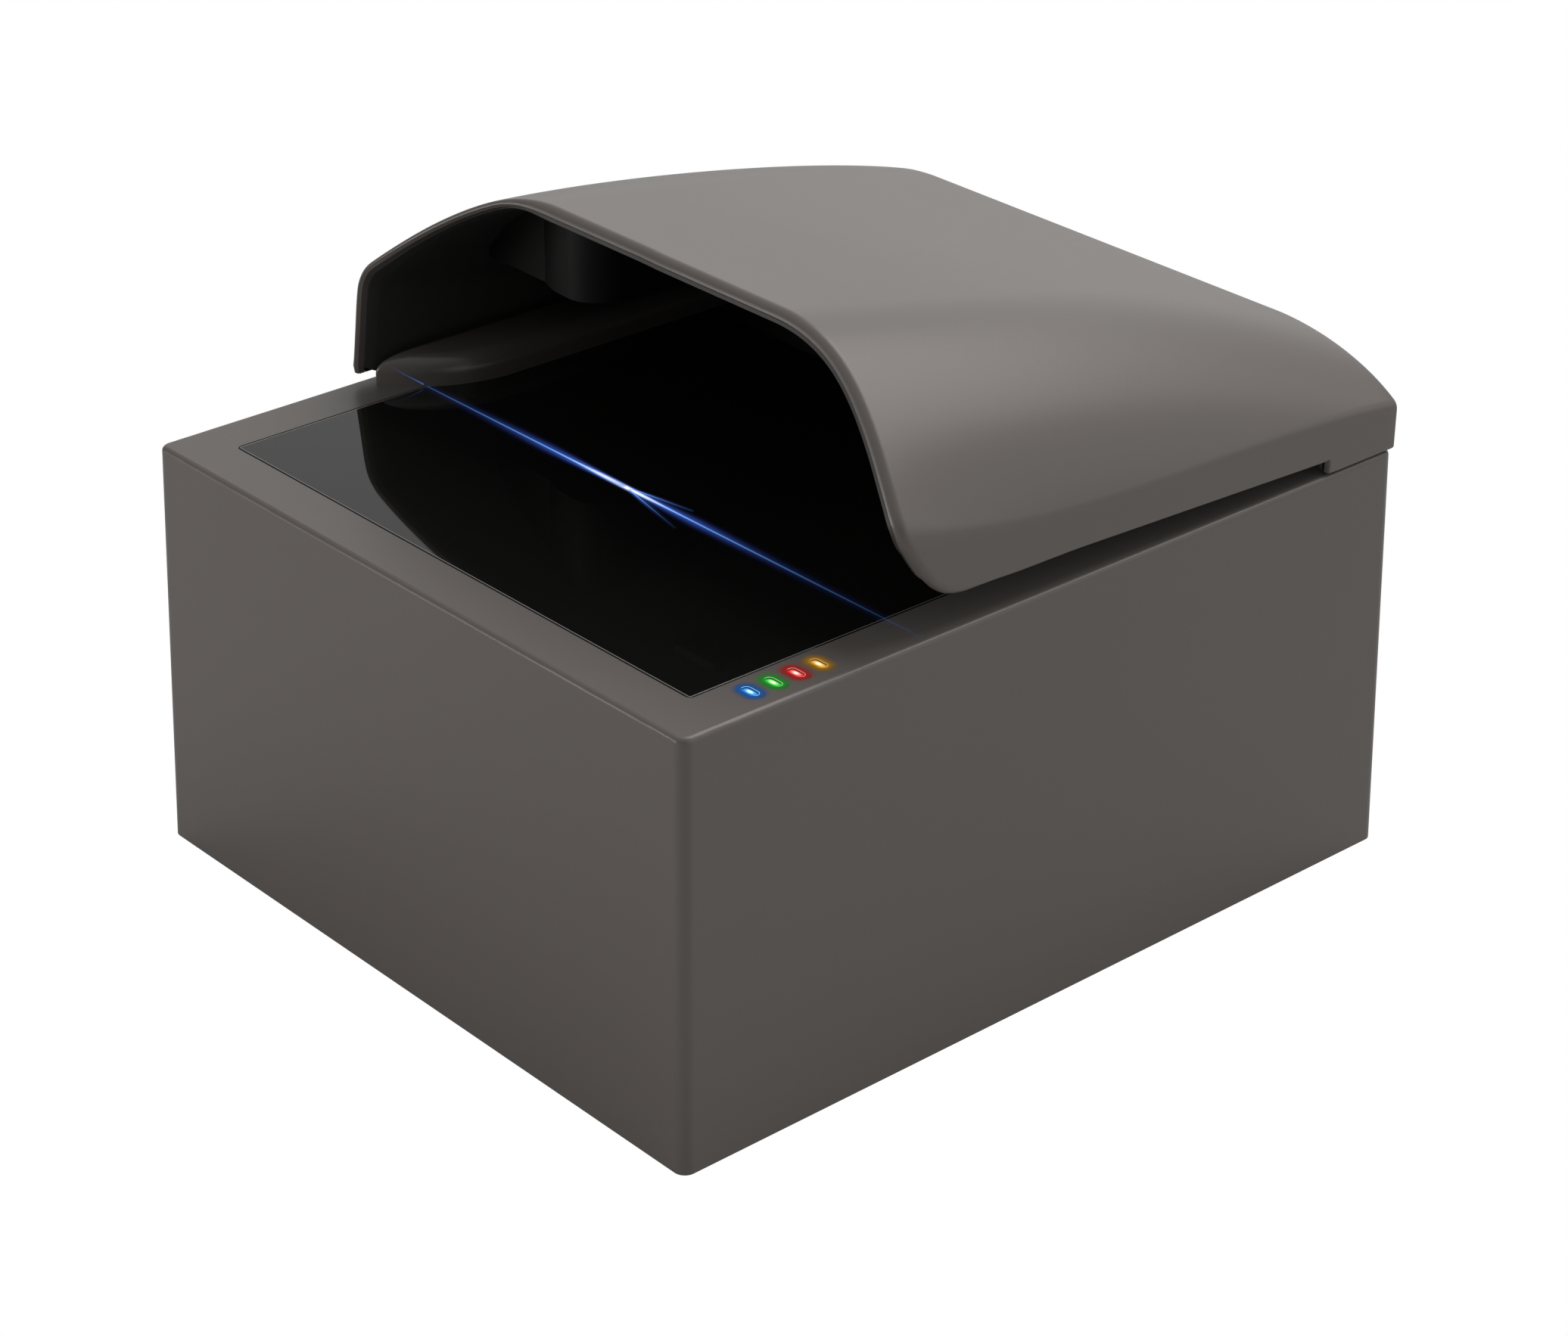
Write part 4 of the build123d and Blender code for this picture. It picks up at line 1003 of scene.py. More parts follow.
@dataclass
class HoodShell:
    """The hood's painted shell with its rounded lip and its two hinge knuckles.

    Args:
        surface: the hood's outer surface.
        finish: the shell's material.
        bevel: bevel on the lip's inner edge.
        slant: how much deeper and longer that bevel is on the thin left edge.
        corner: place of the bevel's middle corner, as a share of its depth and length.
        land: share of the rounding that the thick lip runs back.
        sliver: least that it runs back behind the bevel.
        setback: how far the inner surface starts behind the outer one.
        thin_setback: how much further on the thin left edge.
        rear_least: smallest rounding of the inner rear edge.
        hinge_x: distance of the knuckles from the middle.
        hinge_y: the hinge axis in the row frame.
        hinge_z: its height.
        barrel: the knuckles' radius.
        knuckle: the knuckles' length.
        lip_points: points over the lip's rounding, with the one that it starts from.
        barrel_points: points on the lower half of a knuckle.
    """

    surface: HoodSurface
    finish: bpy.types.Material
    bevel: float = 0.2
    slant: Pair = (0.65, 1.6)
    corner: float = 0.3
    land: float = 0.41
    sliver: float = 0.05
    setback: float = 0.15
    thin_setback: float = 1.7
    rear_least: float = 0.3
    hinge_x: float = 45.0
    hinge_y: float = 93.6
    hinge_z: float = 89.66
    barrel: float = 3.1
    knuckle: float = 10.0
    lip_points: int = 13
    barrel_points: int = 24

    def build_skin(self, mesh: MeshBuilder) -> Brim:
        """Adds the shell's skin: the outer and inner surface and the profile that joins them.

        Args:
            mesh: the builder that takes it.

        Returns:
            The outer surface's boundary.
        """
        surface = self.surface
        start, radius = surface.starts()
        rear = surface.end_rounding()
        outer = surface.rows(start, 0.0, rear)
        brim = draw_brim(surface, outer, radius)
        inner_start = start + self.setback + self.thin_setback * brim.thin[brim.lip]
        inner_rear = np.maximum(rear - surface.thickness, self.rear_least)
        inner = surface.rows(inner_start, surface.thickness, inner_rear)
        drop, run = (self.bevel + extra * brim.thin for extra in self.slant)
        heel = np.minimum(brim.radius * (1 - self.land), brim.radius - run - self.sliver)
        profile = [
            brim.offset(brim.radius * math.sin(turn), brim.radius * (1 - math.cos(turn)))
            for turn in np.linspace(0, QUARTER, self.lip_points)[1:]
        ]
        profile += [
            brim.offset(brim.radius, np.maximum(brim.depth - drop, brim.radius)),
            brim.offset(brim.radius - run * self.corner, brim.depth - drop * self.corner),
            brim.offset(brim.radius - run, brim.depth),
            brim.offset(heel, brim.depth),
        ]
        add_shell(mesh, outer, inner, profile)
        return brim

    def build_knuckles(self, mesh: MeshBuilder) -> None:
        """Adds the two hinge knuckles under the rear wall.

        Args:
            mesh: the builder that takes them.
        """
        roof = TOP + self.surface.rear_gap
        rear = self.surface.back + FRONT
        turn = np.linspace(math.pi, 2 * math.pi, self.barrel_points)
        curve = np.stack([np.cos(turn), np.sin(turn)], axis=1) * self.barrel + (self.hinge_y, self.hinge_z)
        low = self.hinge_z - math.sqrt(self.barrel**2 - (rear - self.hinge_y) ** 2)
        outline = [tuple(p) for p in curve if p[0] <= rear]
        outline += [(rear, low), (rear, roof), (self.hinge_y - self.barrel, roof)]
        for x in (-self.hinge_x, self.hinge_x):
            ends = (x - self.knuckle / 2, x + self.knuckle / 2)
            mesh.add_rings([np.array([(end, y, z) for y, z in outline]) for end in ends])

    def build(self) -> Brim:
        """Builds the shell, riding on the hood.

        Returns:
            The outer surface's boundary.
        """
        mesh = MeshBuilder()
        brim = self.build_skin(mesh)
        self.build_knuckles(mesh)
        mount(mesh.build("hood_skin", self.finish), Body.HOOD, "hood_shell")
        return brim


@dataclass
class HoodLiner:
    """The black lining behind the hood's lip.

    Args:
        surface: the hood's outer surface.
        brim: the outer surface's boundary.
        finish: the lining's material.
        gap: gap to the lip's inner face.
        thickness: the lining's thickness.
        thinned: share of that thickness that the thin left edge lacks.
        setback: how far its surface starts behind the shell's.
        shift: how far it stays behind the lip's face.
        retreat: how much further behind it stays on the thin left edge.
        taper: how far back the lining thins out there.
        rear: rounding of its rear edge.
    """

    surface: HoodSurface
    brim: Brim
    finish: bpy.types.Material
    gap: float = 0.05
    thickness: float = 0.75
    thinned: float = 0.85
    setback: float = 0.1
    shift: float = 0.12
    retreat: float = 1.8
    taper: float = 1.6
    rear: float = 0.3

    def build(self) -> None:
        """Builds the lining, riding on the hood."""
        brim = self.brim
        start = self.surface.starts()[0] + self.setback + (self.retreat + self.taper) * brim.thin[brim.lip]
        forward = brim.radius - self.shift - self.retreat * brim.thin
        outside = brim.depth + self.gap
        grids = []
        for thickness in (0.0, self.thickness):
            grid = self.surface.rows(start, outside[brim.lip] + thickness, np.full(len(start), self.rear))
            ring = brim.offset(forward, outside + thickness * (1 - self.thinned * brim.thin))
            grids.append(np.concatenate([ring[None, brim.lip], grid]))
        mesh = MeshBuilder()
        add_shell(mesh, *grids, [])
        mount(mesh.build("hood_lining", self.finish), Body.HOOD, "hood_liner")


@dataclass
class DocumentGuide:
    """The dark guide on the left: a wall with a curved lead-in and a stop across the rear.

    Args:
        finish: the guide's material.
        inner: the wall's inner side.
        outer: the wall's outer side.
        turn_y: where the lead-in's curve starts, from the housing's front edge.
        turn_radius: the lead-in's radius.
        stop_y: the stop's front, from the housing's front edge.
        stop_width: the stop's width.
        right: the stop's right end.
        height: height above the housing.
        soft: how far the top's rounding runs in.
        drop: how far it runs down.
        nose: smallest rounding of the upright edges.
        swell: how much they grow for each millimetre that the rounding runs in.
        heel: largest rounding of the outer rear edge.
        sliver: half the least flat between the roundings of the stop's end.
        pins: places of the pins below.
        pin: the pins' radius and depth.
        corner_points: points on a rounded corner.
        lead_points: points on the lead-in.
        top_rings: rings over the top's rounding.
        pin_points: points round a pin.
    """

    finish: bpy.types.Material
    inner: float = -64.5
    outer: float = -79.3
    turn_y: float = 78.0
    turn_radius: float = 30.7
    stop_y: float = 140.0
    stop_width: float = 6.4
    right: float = 66.0
    height: float = 6.5
    soft: float = 3.0
    drop: float = 4.2
    nose: float = 0.5
    swell: float = 0.9
    heel: float = 3.0
    sliver: float = 0.05
    pins: tuple[Pair, ...] = ((-75.4, -5.0), (-75.4, 30.0))
    pin: Pair = (1.5, 3.6)
    corner_points: int = 13
    lead_points: int = 40
    top_rings: int = 15
    pin_points: int = 24

    def corner(self, x: float, y: float, radius: float, first: float, last: float) -> np.ndarray:
        """Makes the arc of a rounded corner round a centre, from its first to its last angle in degrees."""
        turn = np.radians(np.linspace(first, last, self.corner_points))
        return np.stack([x + radius * np.cos(turn), y + radius * np.sin(turn)], axis=1)

    def outline(self, inset: float) -> np.ndarray:
        """Draws the outline seen from above.

        Args:
            inset: how far inside the guide's foot.

        Returns:
            The points, anticlockwise.
        """
        bend = self.nose + self.swell * inset
        centre = np.array([self.inner - self.turn_radius, FRONT + self.turn_y])
        nose_x = self.outer + inset + bend
        reach = self.turn_radius - inset - bend
        nose_y = centre[1] - math.sqrt(reach**2 - (nose_x - centre[0]) ** 2)
        meet = math.degrees(math.atan2(nose_y - centre[1], nose_x - centre[0]))
        curve = np.radians(np.linspace(meet, 0.0, self.lead_points))[:, None]
        lead_in = centre + (self.turn_radius - inset) * np.concatenate([np.cos(curve), np.sin(curve)], axis=1)
        front = FRONT + self.stop_y + inset
        rear = FRONT + self.stop_y + self.stop_width - inset
        end = min(bend, (rear - front) / 2 - self.sliver)
        back = min(bend, self.heel)
        side_x, side_y = self.inner + self.nose, FRONT + self.stop_y - self.nose
        return np.concatenate([
            self.corner(nose_x, nose_y, bend, -180.0, meet),
            lead_in[1:],
            self.corner(side_x, side_y, self.nose + inset, 180.0, 90.0),
            self.corner(self.right - inset - end, front + end, end, -90.0, 0.0),
            self.corner(self.right - inset - end, rear - end, end, 0.0, 90.0),
            self.corner(self.outer + inset + back, rear - back, back, 90.0, 180.0),
        ])

    def build(self) -> None:
        """Builds the guide, riding on the housing."""
        mesh = MeshBuilder()
        rings = [flat_ring(*self.outline(0.0).T, TOP)]
        for turn in np.linspace(0, QUARTER, self.top_rings):
            level = TOP + self.height - self.drop * (1 - math.sin(turn))
            rings.append(flat_ring(*self.outline(self.soft * (1 - math.cos(turn))).T, level))
        mesh.add_rings(rings)
        radius, depth = self.pin
        turn = np.linspace(0, 2 * math.pi, self.pin_points, endpoint=False)
        for x, y in self.pins:
            ring = flat_ring(x + radius * np.cos(turn), y + radius * np.sin(turn), TOP)
            mesh.add_rings([ring - (0, 0, depth), ring])
        mount(mesh.build("guide_rail", self.finish, crease=40.0), replaced="document_guide")


@dataclass
class WindowEdge:
    """The polished bevel round the window, which shows as a thin bright line: partly its real reflection,
    partly a highlight painted in its pale colour.

    Args:
        finish: the bevel's material, whose pale colour paints part of the bright line's highlight.
        width: the window's width.
        depth: the window's depth.
        front: its front edge from the housing's front edge.
        corner: rounding of the seam's outer corners.
        seam: width of the dark seam outside the bevel.
        bevel: width of the bevel.
        crest: how far inside the seam the bevel is highest.
        levels: heights of its foot, crest and inner edge above the housing's top.
        points: points on a corner.
    """

    finish: bpy.types.Material
    width: float = 142.4
    depth: float = 136.4
    front: float = 11.6
    corner: float = 0.76
    seam: float = 0.26
    bevel: float = 0.2
    crest: float = 0.03
    levels: Triple = (0.002, 0.014, 0.012)
    points: int = 9

    def ring(self, inset: float, level: float) -> np.ndarray:
        """Makes a ring in the window's shape.

        Args:
            inset: how far inside the window's edge.
            level: its height.

        Returns:
            The ring.
        """
        radius = self.corner - inset
        middle = FRONT + self.front + self.depth / 2
        points = []
        for number, (side, end) in enumerate(((1, 1), (-1, 1), (-1, -1), (1, -1))):
            turn = np.linspace(number, number + 1, self.points) * QUARTER
            x = side * (self.width / 2 - self.corner) + radius * np.cos(turn)
            y = middle + end * (self.depth / 2 - self.corner) + radius * np.sin(turn)
            points.append(flat_ring(x, y, level))
        return np.concatenate(points)

    def build(self) -> None:
        """Builds the bevel, riding on the housing."""
        mesh = MeshBuilder()
        insets = (self.seam, self.seam + self.crest, self.seam + self.bevel)
        rings = [self.ring(inset, TOP + level) for inset, level in zip(insets, self.levels)]
        mesh.add_rings(rings, caps=False)
        mount(mesh.build("window_bevel", self.finish))


class Hue(Enum):
    """The status lamps' colours, front to rear, as linear glow and hot centre."""

    BLUE = ((0.01, 0.24, 0.85), (0.6, 1.0, 0.9))
    GREEN = ((0.02, 0.62, 0.05), (0.8, 1.0, 0.55))
    RED = ((0.85, 0.03, 0.03), (1.0, 0.72, 0.62))
    AMBER = ((0.72, 0.36, 0.02), (1.0, 0.72, 0.5))


@dataclass
class StatusLamp:
    """One of the four lit lamps: a domed lens in a collar with a painted highlight of its light on the rim,
    and its light on the housing.

    Args:
        shared: the shared effects.
        case: the housing's material, for the collar.
        hue: the lamp's colour.
        number: how many lamps are in front of it.
        x: the lamps' place across.
        first: the first lamp's place from the housing's front edge.
        pitch: distance between lamps.
        length: the lens's length.
        width: the lens's width.
        rim: the lens's rim below the housing's top.
        crown: the lens's middle below the housing's top.
        skirt: how far the lens goes on below its rim.
        dome: share of the width over which the lens is domed.
        collar: the collar's profile, as insets from the lens and heights above the housing's top.
        bright: the profile of the strip that paints the highlight of the lamp's light on the rim, written the
            same way.
        highlight_part: first column of the ring that the painted rim highlight covers, and the first after
            it.
        spill: reach of the light round the lens.
        spill_level: height of the first lamp's spilled light above the housing's top.
        spill_step: how much higher each next one lies.
        core: radius of the hot centre.
        haze: opacity of the spilled light.
        dim: share of the glow's colour that the unlit surface has.
        highlight_level: brightness of the painted rim highlight.
        roughness: the lens's roughness.
        columns: points round the lens.
        dome_rings: rings over the dome.
        spill_rings: rings over the spilled light.
        spill_start: the first of them, as a share of the reach.
    """

    shared: Effects
    case: bpy.types.Material
    hue: Hue
    number: int
    x: float = 76.25
    first: float = 21.57
    pitch: float = 5.53
    length: float = 3.95
    width: float = 1.95
    rim: float = 0.4
    crown: float = 0.06
    skirt: float = 0.05
    dome: float = 0.98
    collar: tuple[Pair, ...] = ((-1.05, -0.3), (-1.05, 0.008), (-0.08, 0.008), (0.0, -0.06), (0.0, -0.42))
    # profile of the strip that paints the highlight of the lamp's light on the rim
    bright: tuple[Pair, ...] = ((-0.14, 0.01), (-0.08, 0.05), (0.0, -0.03))
    highlight_part: tuple[int, int] = (9, 39)
    spill: float = 3.5
    spill_level: float = 0.03
    spill_step: float = 0.004
    core: float = 0.42
    haze: float = 0.8
    dim: float = 0.1
    highlight_level: float = 0.55
    roughness: float = 0.08
    columns: int = 48
    dome_rings: int = 9
    spill_rings: int = 12
    spill_start: float = 0.02

    def __post_init__(self) -> None:
        """Works out its name and its place in the row frame."""
        self.name = self.hue.name.lower()
        self.y = FRONT + self.first + self.pitch * self.number

    def material(self, name: str, opacity: float) -> bpy.types.Material:
        """Makes one of its two glowing materials.

        Args:
            name: the material's name.
            opacity: opacity beside the lens, or 1 for the lens itself.

        Returns:
            The material.
        """
        material, tree, shader = start_material(name)
        glow, hot = self.hue.value
        light = tree.group(self.shared["glow"], {
            "Centre": (self.x * MM, self.y * MM, TOP * MM), "Glow": (*glow, 1.0), "Hot": (*hot, 1.0),
            "Core": self.core * MM, "Straight": (self.length - self.width) / 2 * MM,
            "Edge": self.width / 2 * MM, "Reach": self.spill * MM, "Opacity": opacity,
        })
        tree.fill(shader, {
            "Emission Color": light["Color"], "Emission Strength": 1.0, "Roughness": self.roughness,
            "Base Color": (*(self.dim * c for c in glow), 1.0),
        })
        if opacity < 1.0:
            tree.fill(shader, {"Specular IOR Level": 0.0, "Alpha": light["Alpha"]})
        return material

    def obround(self, inset: float, height: float) -> np.ndarray:
        """Makes a ring in the lens's shape.

        Args:
            inset: how far inside the lens's rim.
            height: the ring's height above the housing's top.

        Returns:
            The ring.
        """
        radius = self.width / 2 - inset
        turn = np.linspace(-QUARTER, 3 * QUARTER, self.columns, endpoint=False) + math.pi / self.columns
        shift = np.where(np.cos(turn) > 0, 1, -1) * (self.length - self.width) / 2
        return flat_ring(self.x + shift + radius * np.cos(turn), self.y + radius * np.sin(turn), TOP + height)

    def build_dome(self) -> None:
        """Builds the domed lens."""
        mesh = MeshBuilder()
        rings = [self.obround(0.0, -self.rim - self.skirt)]
        for turn in np.linspace(0, QUARTER, self.dome_rings, endpoint=False):
            inset = self.width / 2 * (1 - math.cos(turn)) * self.dome
            rings.append(self.obround(inset, (self.rim - self.crown) * math.sin(turn) - self.rim))
        mesh.add_rings(rings)
        material = self.material(f"Lit {self.name} lens", 1.0)
        mount(mesh.build(f"lamp_dome_{self.name}", material, crease=60.0))

    def build_collar(self) -> None:
        """Builds the raised collar round the lens."""
        mesh = MeshBuilder()
        mesh.add_rings([self.obround(*place) for place in self.collar], caps=False)
        mount(mesh.build(f"lamp_collar_{self.name}", self.case))

    def build_rim_highlight(self) -> None:
        """Builds the strip that paints the highlight of the lamp's light on the rim round the rear of the
        lens.
        """
        mesh = MeshBuilder()
        first, last = self.highlight_part
        rings = np.stack([self.obround(*place) for place in self.bright])
        mesh.add_quads(mesh.add_points(rings[:, first:last]))
        # emissive material that paints the highlight of the lamp's light on the rim
        material = Glow(f"Lit {self.name} rim", self.hue.value[1], self.highlight_level).build(self.shared)
        mount(mesh.build(f"lamp_rim_highlight_{self.name}", material, crease=80.0))

    def build_spill(self) -> None:
        """Builds the sheet that shows the lamp's light on the housing."""
        mesh = MeshBuilder()
        level = self.spill_level + self.spill_step * self.number
        turn = np.linspace(0, 2 * math.pi, self.columns, endpoint=False)
        rings = []
        for reach in self.spill * np.linspace(self.spill_start, 1, self.spill_rings):
            x = self.x + (reach + (self.length - self.width) / 2) * np.cos(turn)
            rings.append(flat_ring(x, self.y + reach * np.sin(turn), TOP + level))
        mesh.add_rings(rings, caps=False)
        material = self.material(f"Spilled {self.name} light", self.haze)
        mount(mesh.build(f"lamp_spill_{self.name}", material))

    def build(self) -> None:
        """Builds the lamp, riding on the housing."""
        self.build_dome()
        self.build_collar()
        self.build_rim_highlight()
        self.build_spill()


@dataclass(frozen=True)
class Beam:
    """The look of a light line, in millimetres along it.

    Args:
        name: the material's name.
        middle: the brightest place.
        run: length over which the line fades.
        width: width of the line.
        core: length of the white part.
        level: brightness outside the white part.
    """

    name: str
    middle: float
    run: float
    width: float
    core: float
    level: float

    def build(self, shared: Effects) -> bpy.types.Material:
        """Makes the material.

        Args:
            shared: the shared effects.

        Returns:
            The material.
        """
        material, tree, shader = start_material(self.name)
        light = tree.group(shared["line"], {
            "Middle": self.middle * MM, "Run": self.run * MM, "Width": self.width * MM,
            "Core": self.core * MM, "Level": self.level,
        })
        tree.fill(shader, {
            "Emission Color": light["Color"], "Alpha": light["Alpha"], "Emission Strength": 1.0,
            "Base Color": BLACK, "Specular IOR Level": 0.0,
        })
        return material


@dataclass
class PositioningLine:
    """The thin bright line that the hood's projector throws across the window.

    Args:
        shared: the shared effects.
        guide: the document guide that its left end climbs.
        y: the line's place from the housing's front edge.
        height: its height above the housing's top.
        left: its left end on the housing.
        right: its right end.
        middle: its brightest place.
        half: half the width of the lit sheet.
        ray_half: half the width of a ray's sheet.
        ray_start: where a ray starts, from the point that it turns about.
        ray_aside: how far right of the bright place that point is.
        ray_height: how far above the line the first ray lies.
        ray_step: how much higher each next one lies.
        rise: how fast it climbs the guide for each millimetre to the front.
        climb: how far to the front it can be seen there.
        climb_start: how far above the housing's top the climb starts.
        climb_half: half the height of the climbing sheet.
        climb_shift: how far right of the left end the climb is brightest.
        away: how far in front of the guide's face that sheet lies.
        face: first point of the guide's outline that may lie on its curved face, and the first after it.
        steepest: sine of the rounding's angle where the sheet stops leaning back.
        rays: turn in degrees, length and shift of the faint rays beside the bright place.
        grid: points along and across a lit sheet.
    """

    shared: Effects
    guide: DocumentGuide
    y: float = 59.4
    height: float = 0.07
    left: float = -71.3
    right: float = 81.0
    middle: float = -6.5
    half: float = 5.0
    ray_half: float = 0.8
    ray_start: float = 0.5
    ray_aside: float = 2.0
    ray_height: float = 0.02
    ray_step: float = 0.01
    rise: float = 0.744
    climb: float = 7.0
    climb_start: float = 0.1
    climb_half: float = 0.16
    climb_shift: float = 3.0
    away: float = 0.12
    face: tuple[int, int] = (8, 40)
    steepest: float = 0.99
    rays: tuple[Triple, ...] = (
        (9.4, 17.0, 0.2), (-12.6, 21.0, -0.1), (177.8, 30.0, 0.2), (182.6, 30.0, -0.2),
    )
    grid: tuple[int, int] = (60, 9)

    def ribbon(
        self, name: str, ends: Pair, half: float, material: bpy.types.Material
    ) -> bpy.types.Object:
        """Makes a flat ribbon along its own X axis.

        Args:
            name: the ribbon's name.
            ends: its start and end.
            half: half its width.
            material: its light.

        Returns:
            The ribbon, at the origin.
        """
        mesh = MeshBuilder()
        along, across = self.grid
        x, y = np.meshgrid(np.linspace(*ends, along), half * np.linspace(-1, 1, across), indexing="ij")
        mesh.add_quads(mesh.add_points(np.stack([x, y, np.zeros_like(x)], axis=-1)))
        return mesh.build(name, material)

    def build_climb(self) -> None:
        """Builds the line's left end, which climbs the guide's rounded face."""
        guide = self.guide
        first, last = self.face
        foot = guide.outline(-self.away)[first:last]
        place = FRONT + self.y
        foot = foot[(foot[:, 1] < place) & (foot[:, 1] > place - self.climb)]
        lift = (place - foot[:, 1]) * self.rise
        turn = np.arcsin(np.clip((lift - guide.height + guide.drop) / guide.drop, 0, self.steepest))
        back = guide.soft * (1 - np.cos(turn))
        outward = unit(foot - np.array([guide.inner - guide.turn_radius, FRONT + guide.turn_y]))
        middle = np.column_stack([foot - outward * back[:, None], TOP + self.climb_start + lift])
        mesh = MeshBuilder()
        edges = [middle + np.array([0, 0, side * self.climb_half]) for side in (-1, 1)]
        mesh.add_quads(mesh.add_points(np.stack(edges, axis=1)))
        bright = self.left + self.climb_shift
        light = Beam("Climbing light", middle=bright, run=12.0, width=40.0, core=0.1, level=0.12)
        mount(mesh.build("light_climb", light.build(self.shared)))

    def build(self) -> None:
        """Builds the line and its rays, riding on the housing."""
        spot = Vector((self.middle, FRONT + self.y, TOP + self.height)) * MM
        ends = (self.left - self.middle, self.right - self.middle)
        bright = Beam("Light line", middle=0.0, run=98.0, width=0.2, core=10.0, level=0.85)
        line = self.ribbon("light_line", ends, self.half, bright.build(self.shared))
        line.location = spot
        mount(line)
        faint = Beam("Light ray", middle=0.0, run=25.0, width=0.1, core=1.0, level=0.6).build(self.shared)
        for number, (turn, length, shift) in enumerate(self.rays):
            ray = self.ribbon(f"light_ray_{number}", (self.ray_start, length), self.ray_half, faint)
            layer = self.ray_height + self.ray_step * number
            ray.location = spot + Vector((self.ray_aside, shift, layer)) * MM
            ray.rotation_euler = (0, 0, math.radians(turn))
            mount(ray)
        self.build_climb()


@dataclass(frozen=True)
class SoftBox:
    """A soft box.

    Args:
        name: its name.
        place: where it hangs, in metres.
        target: the point it faces, in metres.
        size: width and height in metres.
        power: power in watts.
        colour: linear colour of its light.
    """

    name: str
    place: Triple
    target: Triple
    size: Pair
    power: float
    colour: Triple = (1.0, 0.95, 0.92)

    def build(self) -> None:
        """Hangs the soft box."""
        data = bpy.data.lights.new(self.name, "AREA")
        data.shape = "RECTANGLE"
        data.size, data.size_y = self.size
        data.energy = self.power
        data.color = self.colour
        light = bpy.data.objects.new(self.name, data)
        light.location = self.place
        light.rotation_euler = (Vector(self.target) - Vector(self.place)).to_track_quat("-Z", "Y").to_euler()
        bpy.context.scene.collection.objects.link(light)


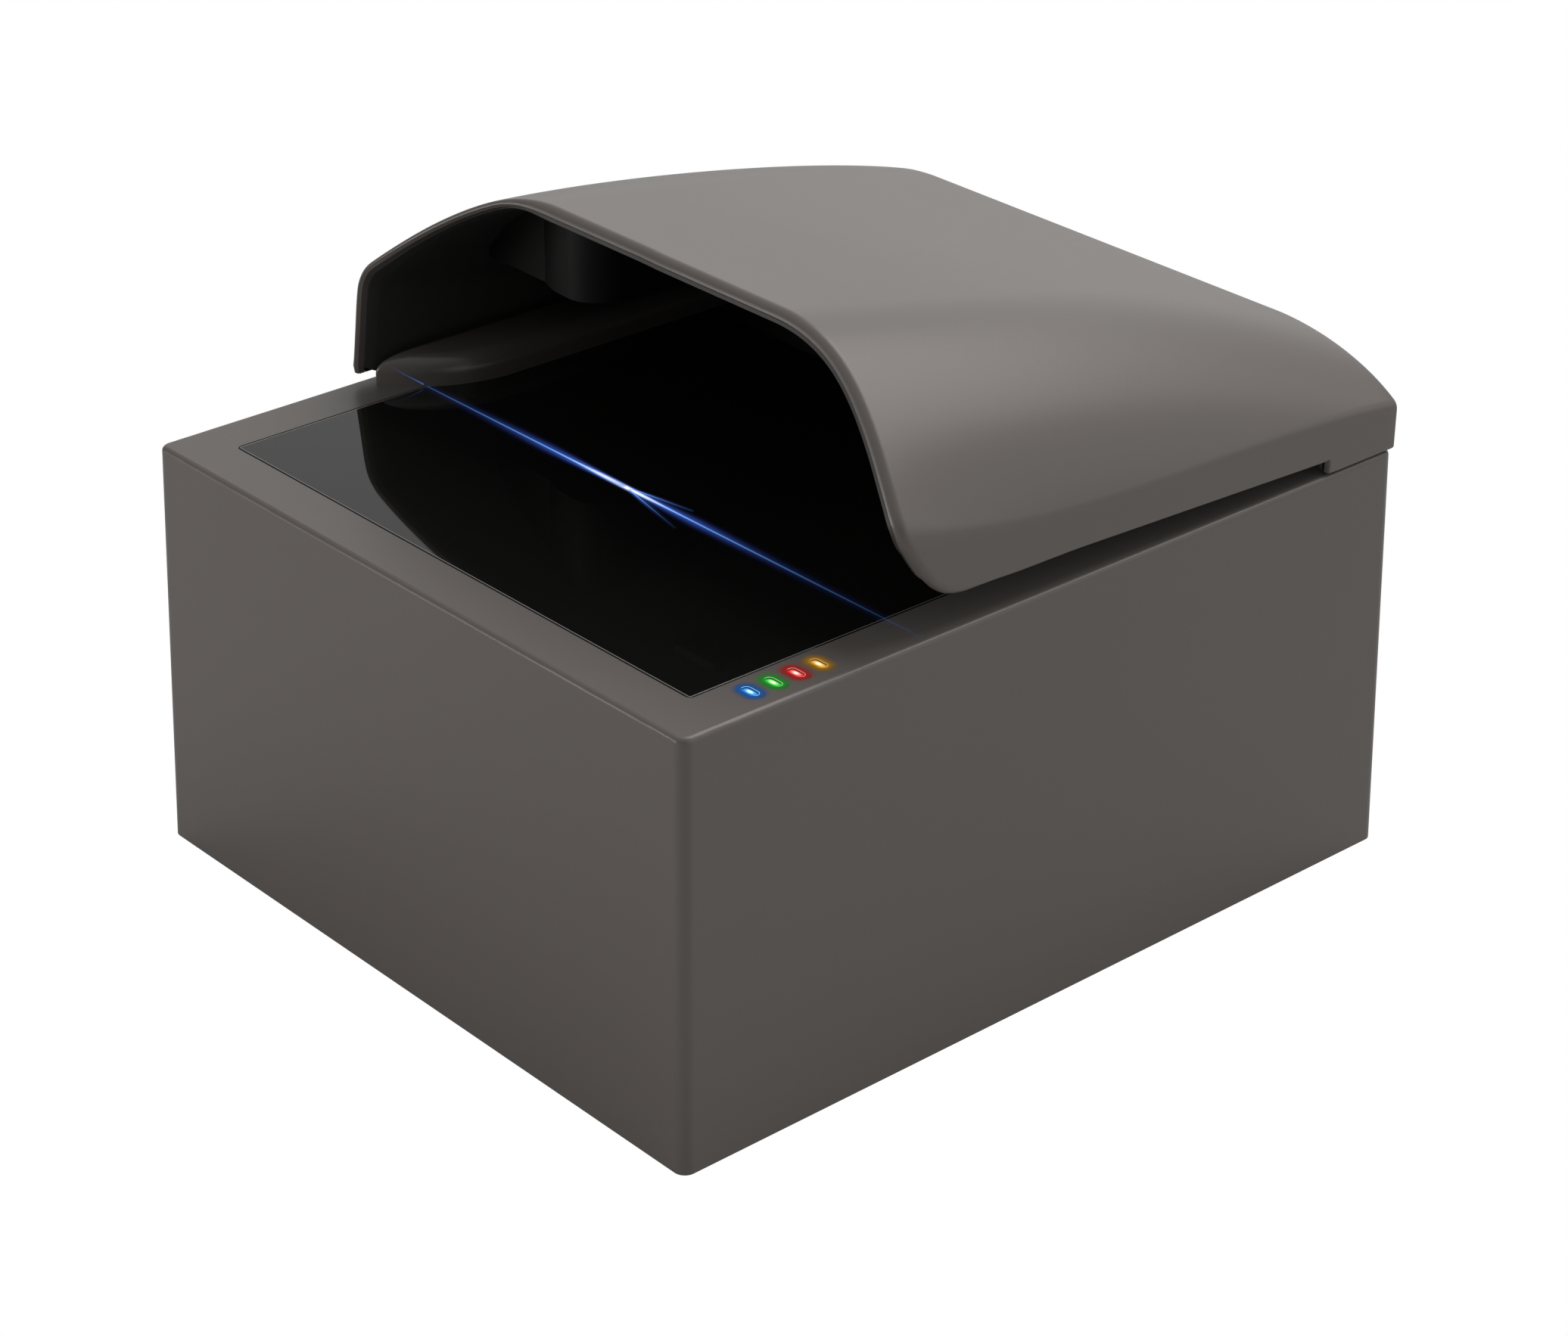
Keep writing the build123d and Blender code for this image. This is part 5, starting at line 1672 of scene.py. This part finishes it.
@dataclass
class Studio:
    """Camera, lights, floor and surroundings.

    Args:
        position: camera place in millimetres.
        azimuth: camera azimuth in degrees.
        elevation: camera elevation in degrees.
        roll: camera roll in degrees.
        lens: focal length.
        sensor: sensor width that it belongs to.
        left: heading of the surroundings' bright part behind the left.
        right: heading of the bright part behind the right.
        above: how the light from above grows with the height, as the ends of a ramp and their levels.
        left_spread: the same for the left part's light, by the cosine of the angle to its heading.
        left_height: the same for that light by height.
        right_spread: the same for the right part's light, by the cosine of the angle to its heading.
        right_height: the same for that light by height.
        ambient: level of the rest.
        floor: half the floor's size in metres.
        boxes: the soft boxes.
    """

    position: Triple = (543.38, -480.95, 424.38)
    azimuth: float = 48.33644
    elevation: float = 27.77798
    roll: float = -0.45494
    lens: float = 89.695
    sensor: float = 36.0
    left: Triple = (-0.66, 0.75, 0.0)
    right: Triple = (0.77, 0.64, 0.0)
    above: tuple[float, ...] = (0.25, 0.85, 0.0, 0.33)
    left_spread: tuple[float, ...] = (0.6, 0.98, 0.0, 1.0)
    left_height: tuple[float, ...] = (0.12, 0.45, 1.1, 0.8)
    right_spread: tuple[float, ...] = (0.5, 0.95, 0.0, 1.0)
    right_height: tuple[float, ...] = (0.02, 0.2, 0.0, 1.0)
    ambient: float = 0.12
    floor: float = 6.0
    boxes: tuple[SoftBox, ...] = (
        SoftBox("Top box", (-0.05, 1.05, 1.6), (0, 0, 0.1), (1.6, 1.2), 20.0),
        SoftBox("Front box", (-0.8, -1.5, 0.25), (0, 0, 0.05), (1.0, 0.4), 7.5),
        SoftBox("Right box", (1.6, -0.2, 0.2), (0, 0, 0.05), (1.0, 0.3), 0.5),
    )

    def build_camera(self) -> None:
        """Places the camera as the calibration of the photograph gives it."""
        az, el, roll = (math.radians(a) for a in (self.azimuth, self.elevation, self.roll))
        back = Vector((math.sin(az) * math.cos(el), -math.cos(az) * math.cos(el), math.sin(el)))
        right = (-back).cross(Vector((0, 0, 1))).normalized()
        down = (-back).cross(right).normalized()
        across = math.cos(roll) * right + math.sin(roll) * down
        along = -math.sin(roll) * right + math.cos(roll) * down
        turn = Matrix((across, -along, back)).transposed()
        data = bpy.data.cameras.new("Camera")
        data.lens = self.lens
        data.sensor_width = self.sensor
        data.clip_start, data.clip_end = 0.05, 50.0
        camera = bpy.data.objects.new("Camera", data)
        camera.matrix_world = Matrix.Translation(Vector(self.position) * MM) @ turn.to_4x4()
        bpy.context.scene.collection.objects.link(camera)
        bpy.context.scene.camera = camera

    def build_world(self) -> None:
        """Makes the surroundings: white to the camera, a soft grey gradient to everything else."""
        world = bpy.data.worlds.new("World")
        bpy.context.scene.world = world
        world.use_nodes = True
        world.node_tree.nodes.clear()
        tree = Tree(world.node_tree)
        heading = tree.add("TexCoord").outputs["Generated"]
        height = Wire(tree, tree.add("SeparateXYZ", {0: heading}).outputs["Z"])
        behind, beside = (tree.vector("DOT_PRODUCT", heading, way) for way in (self.left, self.right))
        above = tree.ramp(height, *self.above)
        left = tree.ramp(behind, *self.left_spread) * tree.ramp(height, *self.left_height)
        right = tree.ramp(beside, *self.right_spread) * tree.ramp(height, *self.right_height)
        level = tree.math("MAXIMUM", above, tree.math("MAXIMUM", left, right)) + self.ambient
        soft = tree.add("Background", {"Strength": level}).outputs[0]
        white = tree.add("Background", {"Color": WHITE, "Strength": 1.0}).outputs[0]
        tree.add("OutputWorld", {"Surface": tree.show_camera(soft, white)})

    def build_floor(self) -> None:
        """Makes the pale floor."""
        mesh = bpy.data.meshes.new("Floor")
        corners = [(x * self.floor, y * self.floor, 0) for x, y in ((-1, -1), (1, -1), (1, 1), (-1, 1))]
        mesh.from_pydata(corners, [], [(0, 1, 2, 3)])
        floor = bpy.data.objects.new("Floor", mesh)
        bpy.context.scene.collection.objects.link(floor)
        material, tree, shader = start_material("Floor")
        tree.fill(shader, {"Base Color": (0.6, 0.6, 0.6, 1.0), "Roughness": 0.9})
        white = tree.add("Emission", {"Color": WHITE, "Strength": 1.0}).outputs[0]
        tree.fill(tree.tree.nodes["Material Output"], {"Surface": tree.show_camera(shader.outputs[0], white)})
        mesh.materials.append(material)

    def build(self) -> None:
        """Builds everything round the object."""
        self.build_camera()
        self.build_world()
        self.build_floor()
        for box in self.boxes:
            box.build()
        bpy.context.scene.view_settings.view_transform = "Standard"
        bpy.context.scene.view_settings.look = "None"
        log.info("studio: camera, world, floor and %d soft boxes", len(self.boxes))


@dataclass
class NodeDresser:
    """Gives CAD nodes that stay visible their finishes.

    Args:
        finishes: material slot to material.
    """

    finishes: dict[str, bpy.types.Material]

    def dress(self) -> None:
        """Puts each node's material on it, as the record's slots say."""
        slots = {part["node"]: part["material_slot"] for part in frame["record"]["subparts"]}
        for name, node in frame["nodes"].items():
            node.data.materials.clear()
            node.data.materials.append(self.finishes[slots[name]])
            log.info("node %s: %s", name, slots[name])


def main() -> None:
    """Builds the scene."""
    logging.basicConfig(level=logging.INFO, format="%(message)s")
    shared = {"grain": make_grain(), "tint": make_tint(), "glow": make_glow(), "line": make_line()}
    finishes = {slot: finish.build(shared) for slot, finish in FINISHES.items()}
    NodeDresser(finishes).dress()
    surface = HoodSurface()
    brim = HoodShell(surface, finishes["case"]).build()
    HoodLiner(surface, brim, finishes["liner"]).build()
    guide = DocumentGuide(finishes["guide"])
    guide.build()
    WindowEdge(BEVEL_HIGHLIGHT_FINISH.build(shared)).build()
    for number, hue in enumerate(Hue):
        StatusLamp(shared, finishes["case"], hue, number).build()
    PositioningLine(shared, guide).build()
    Studio().build()


if __name__ == "__main__":
    main()
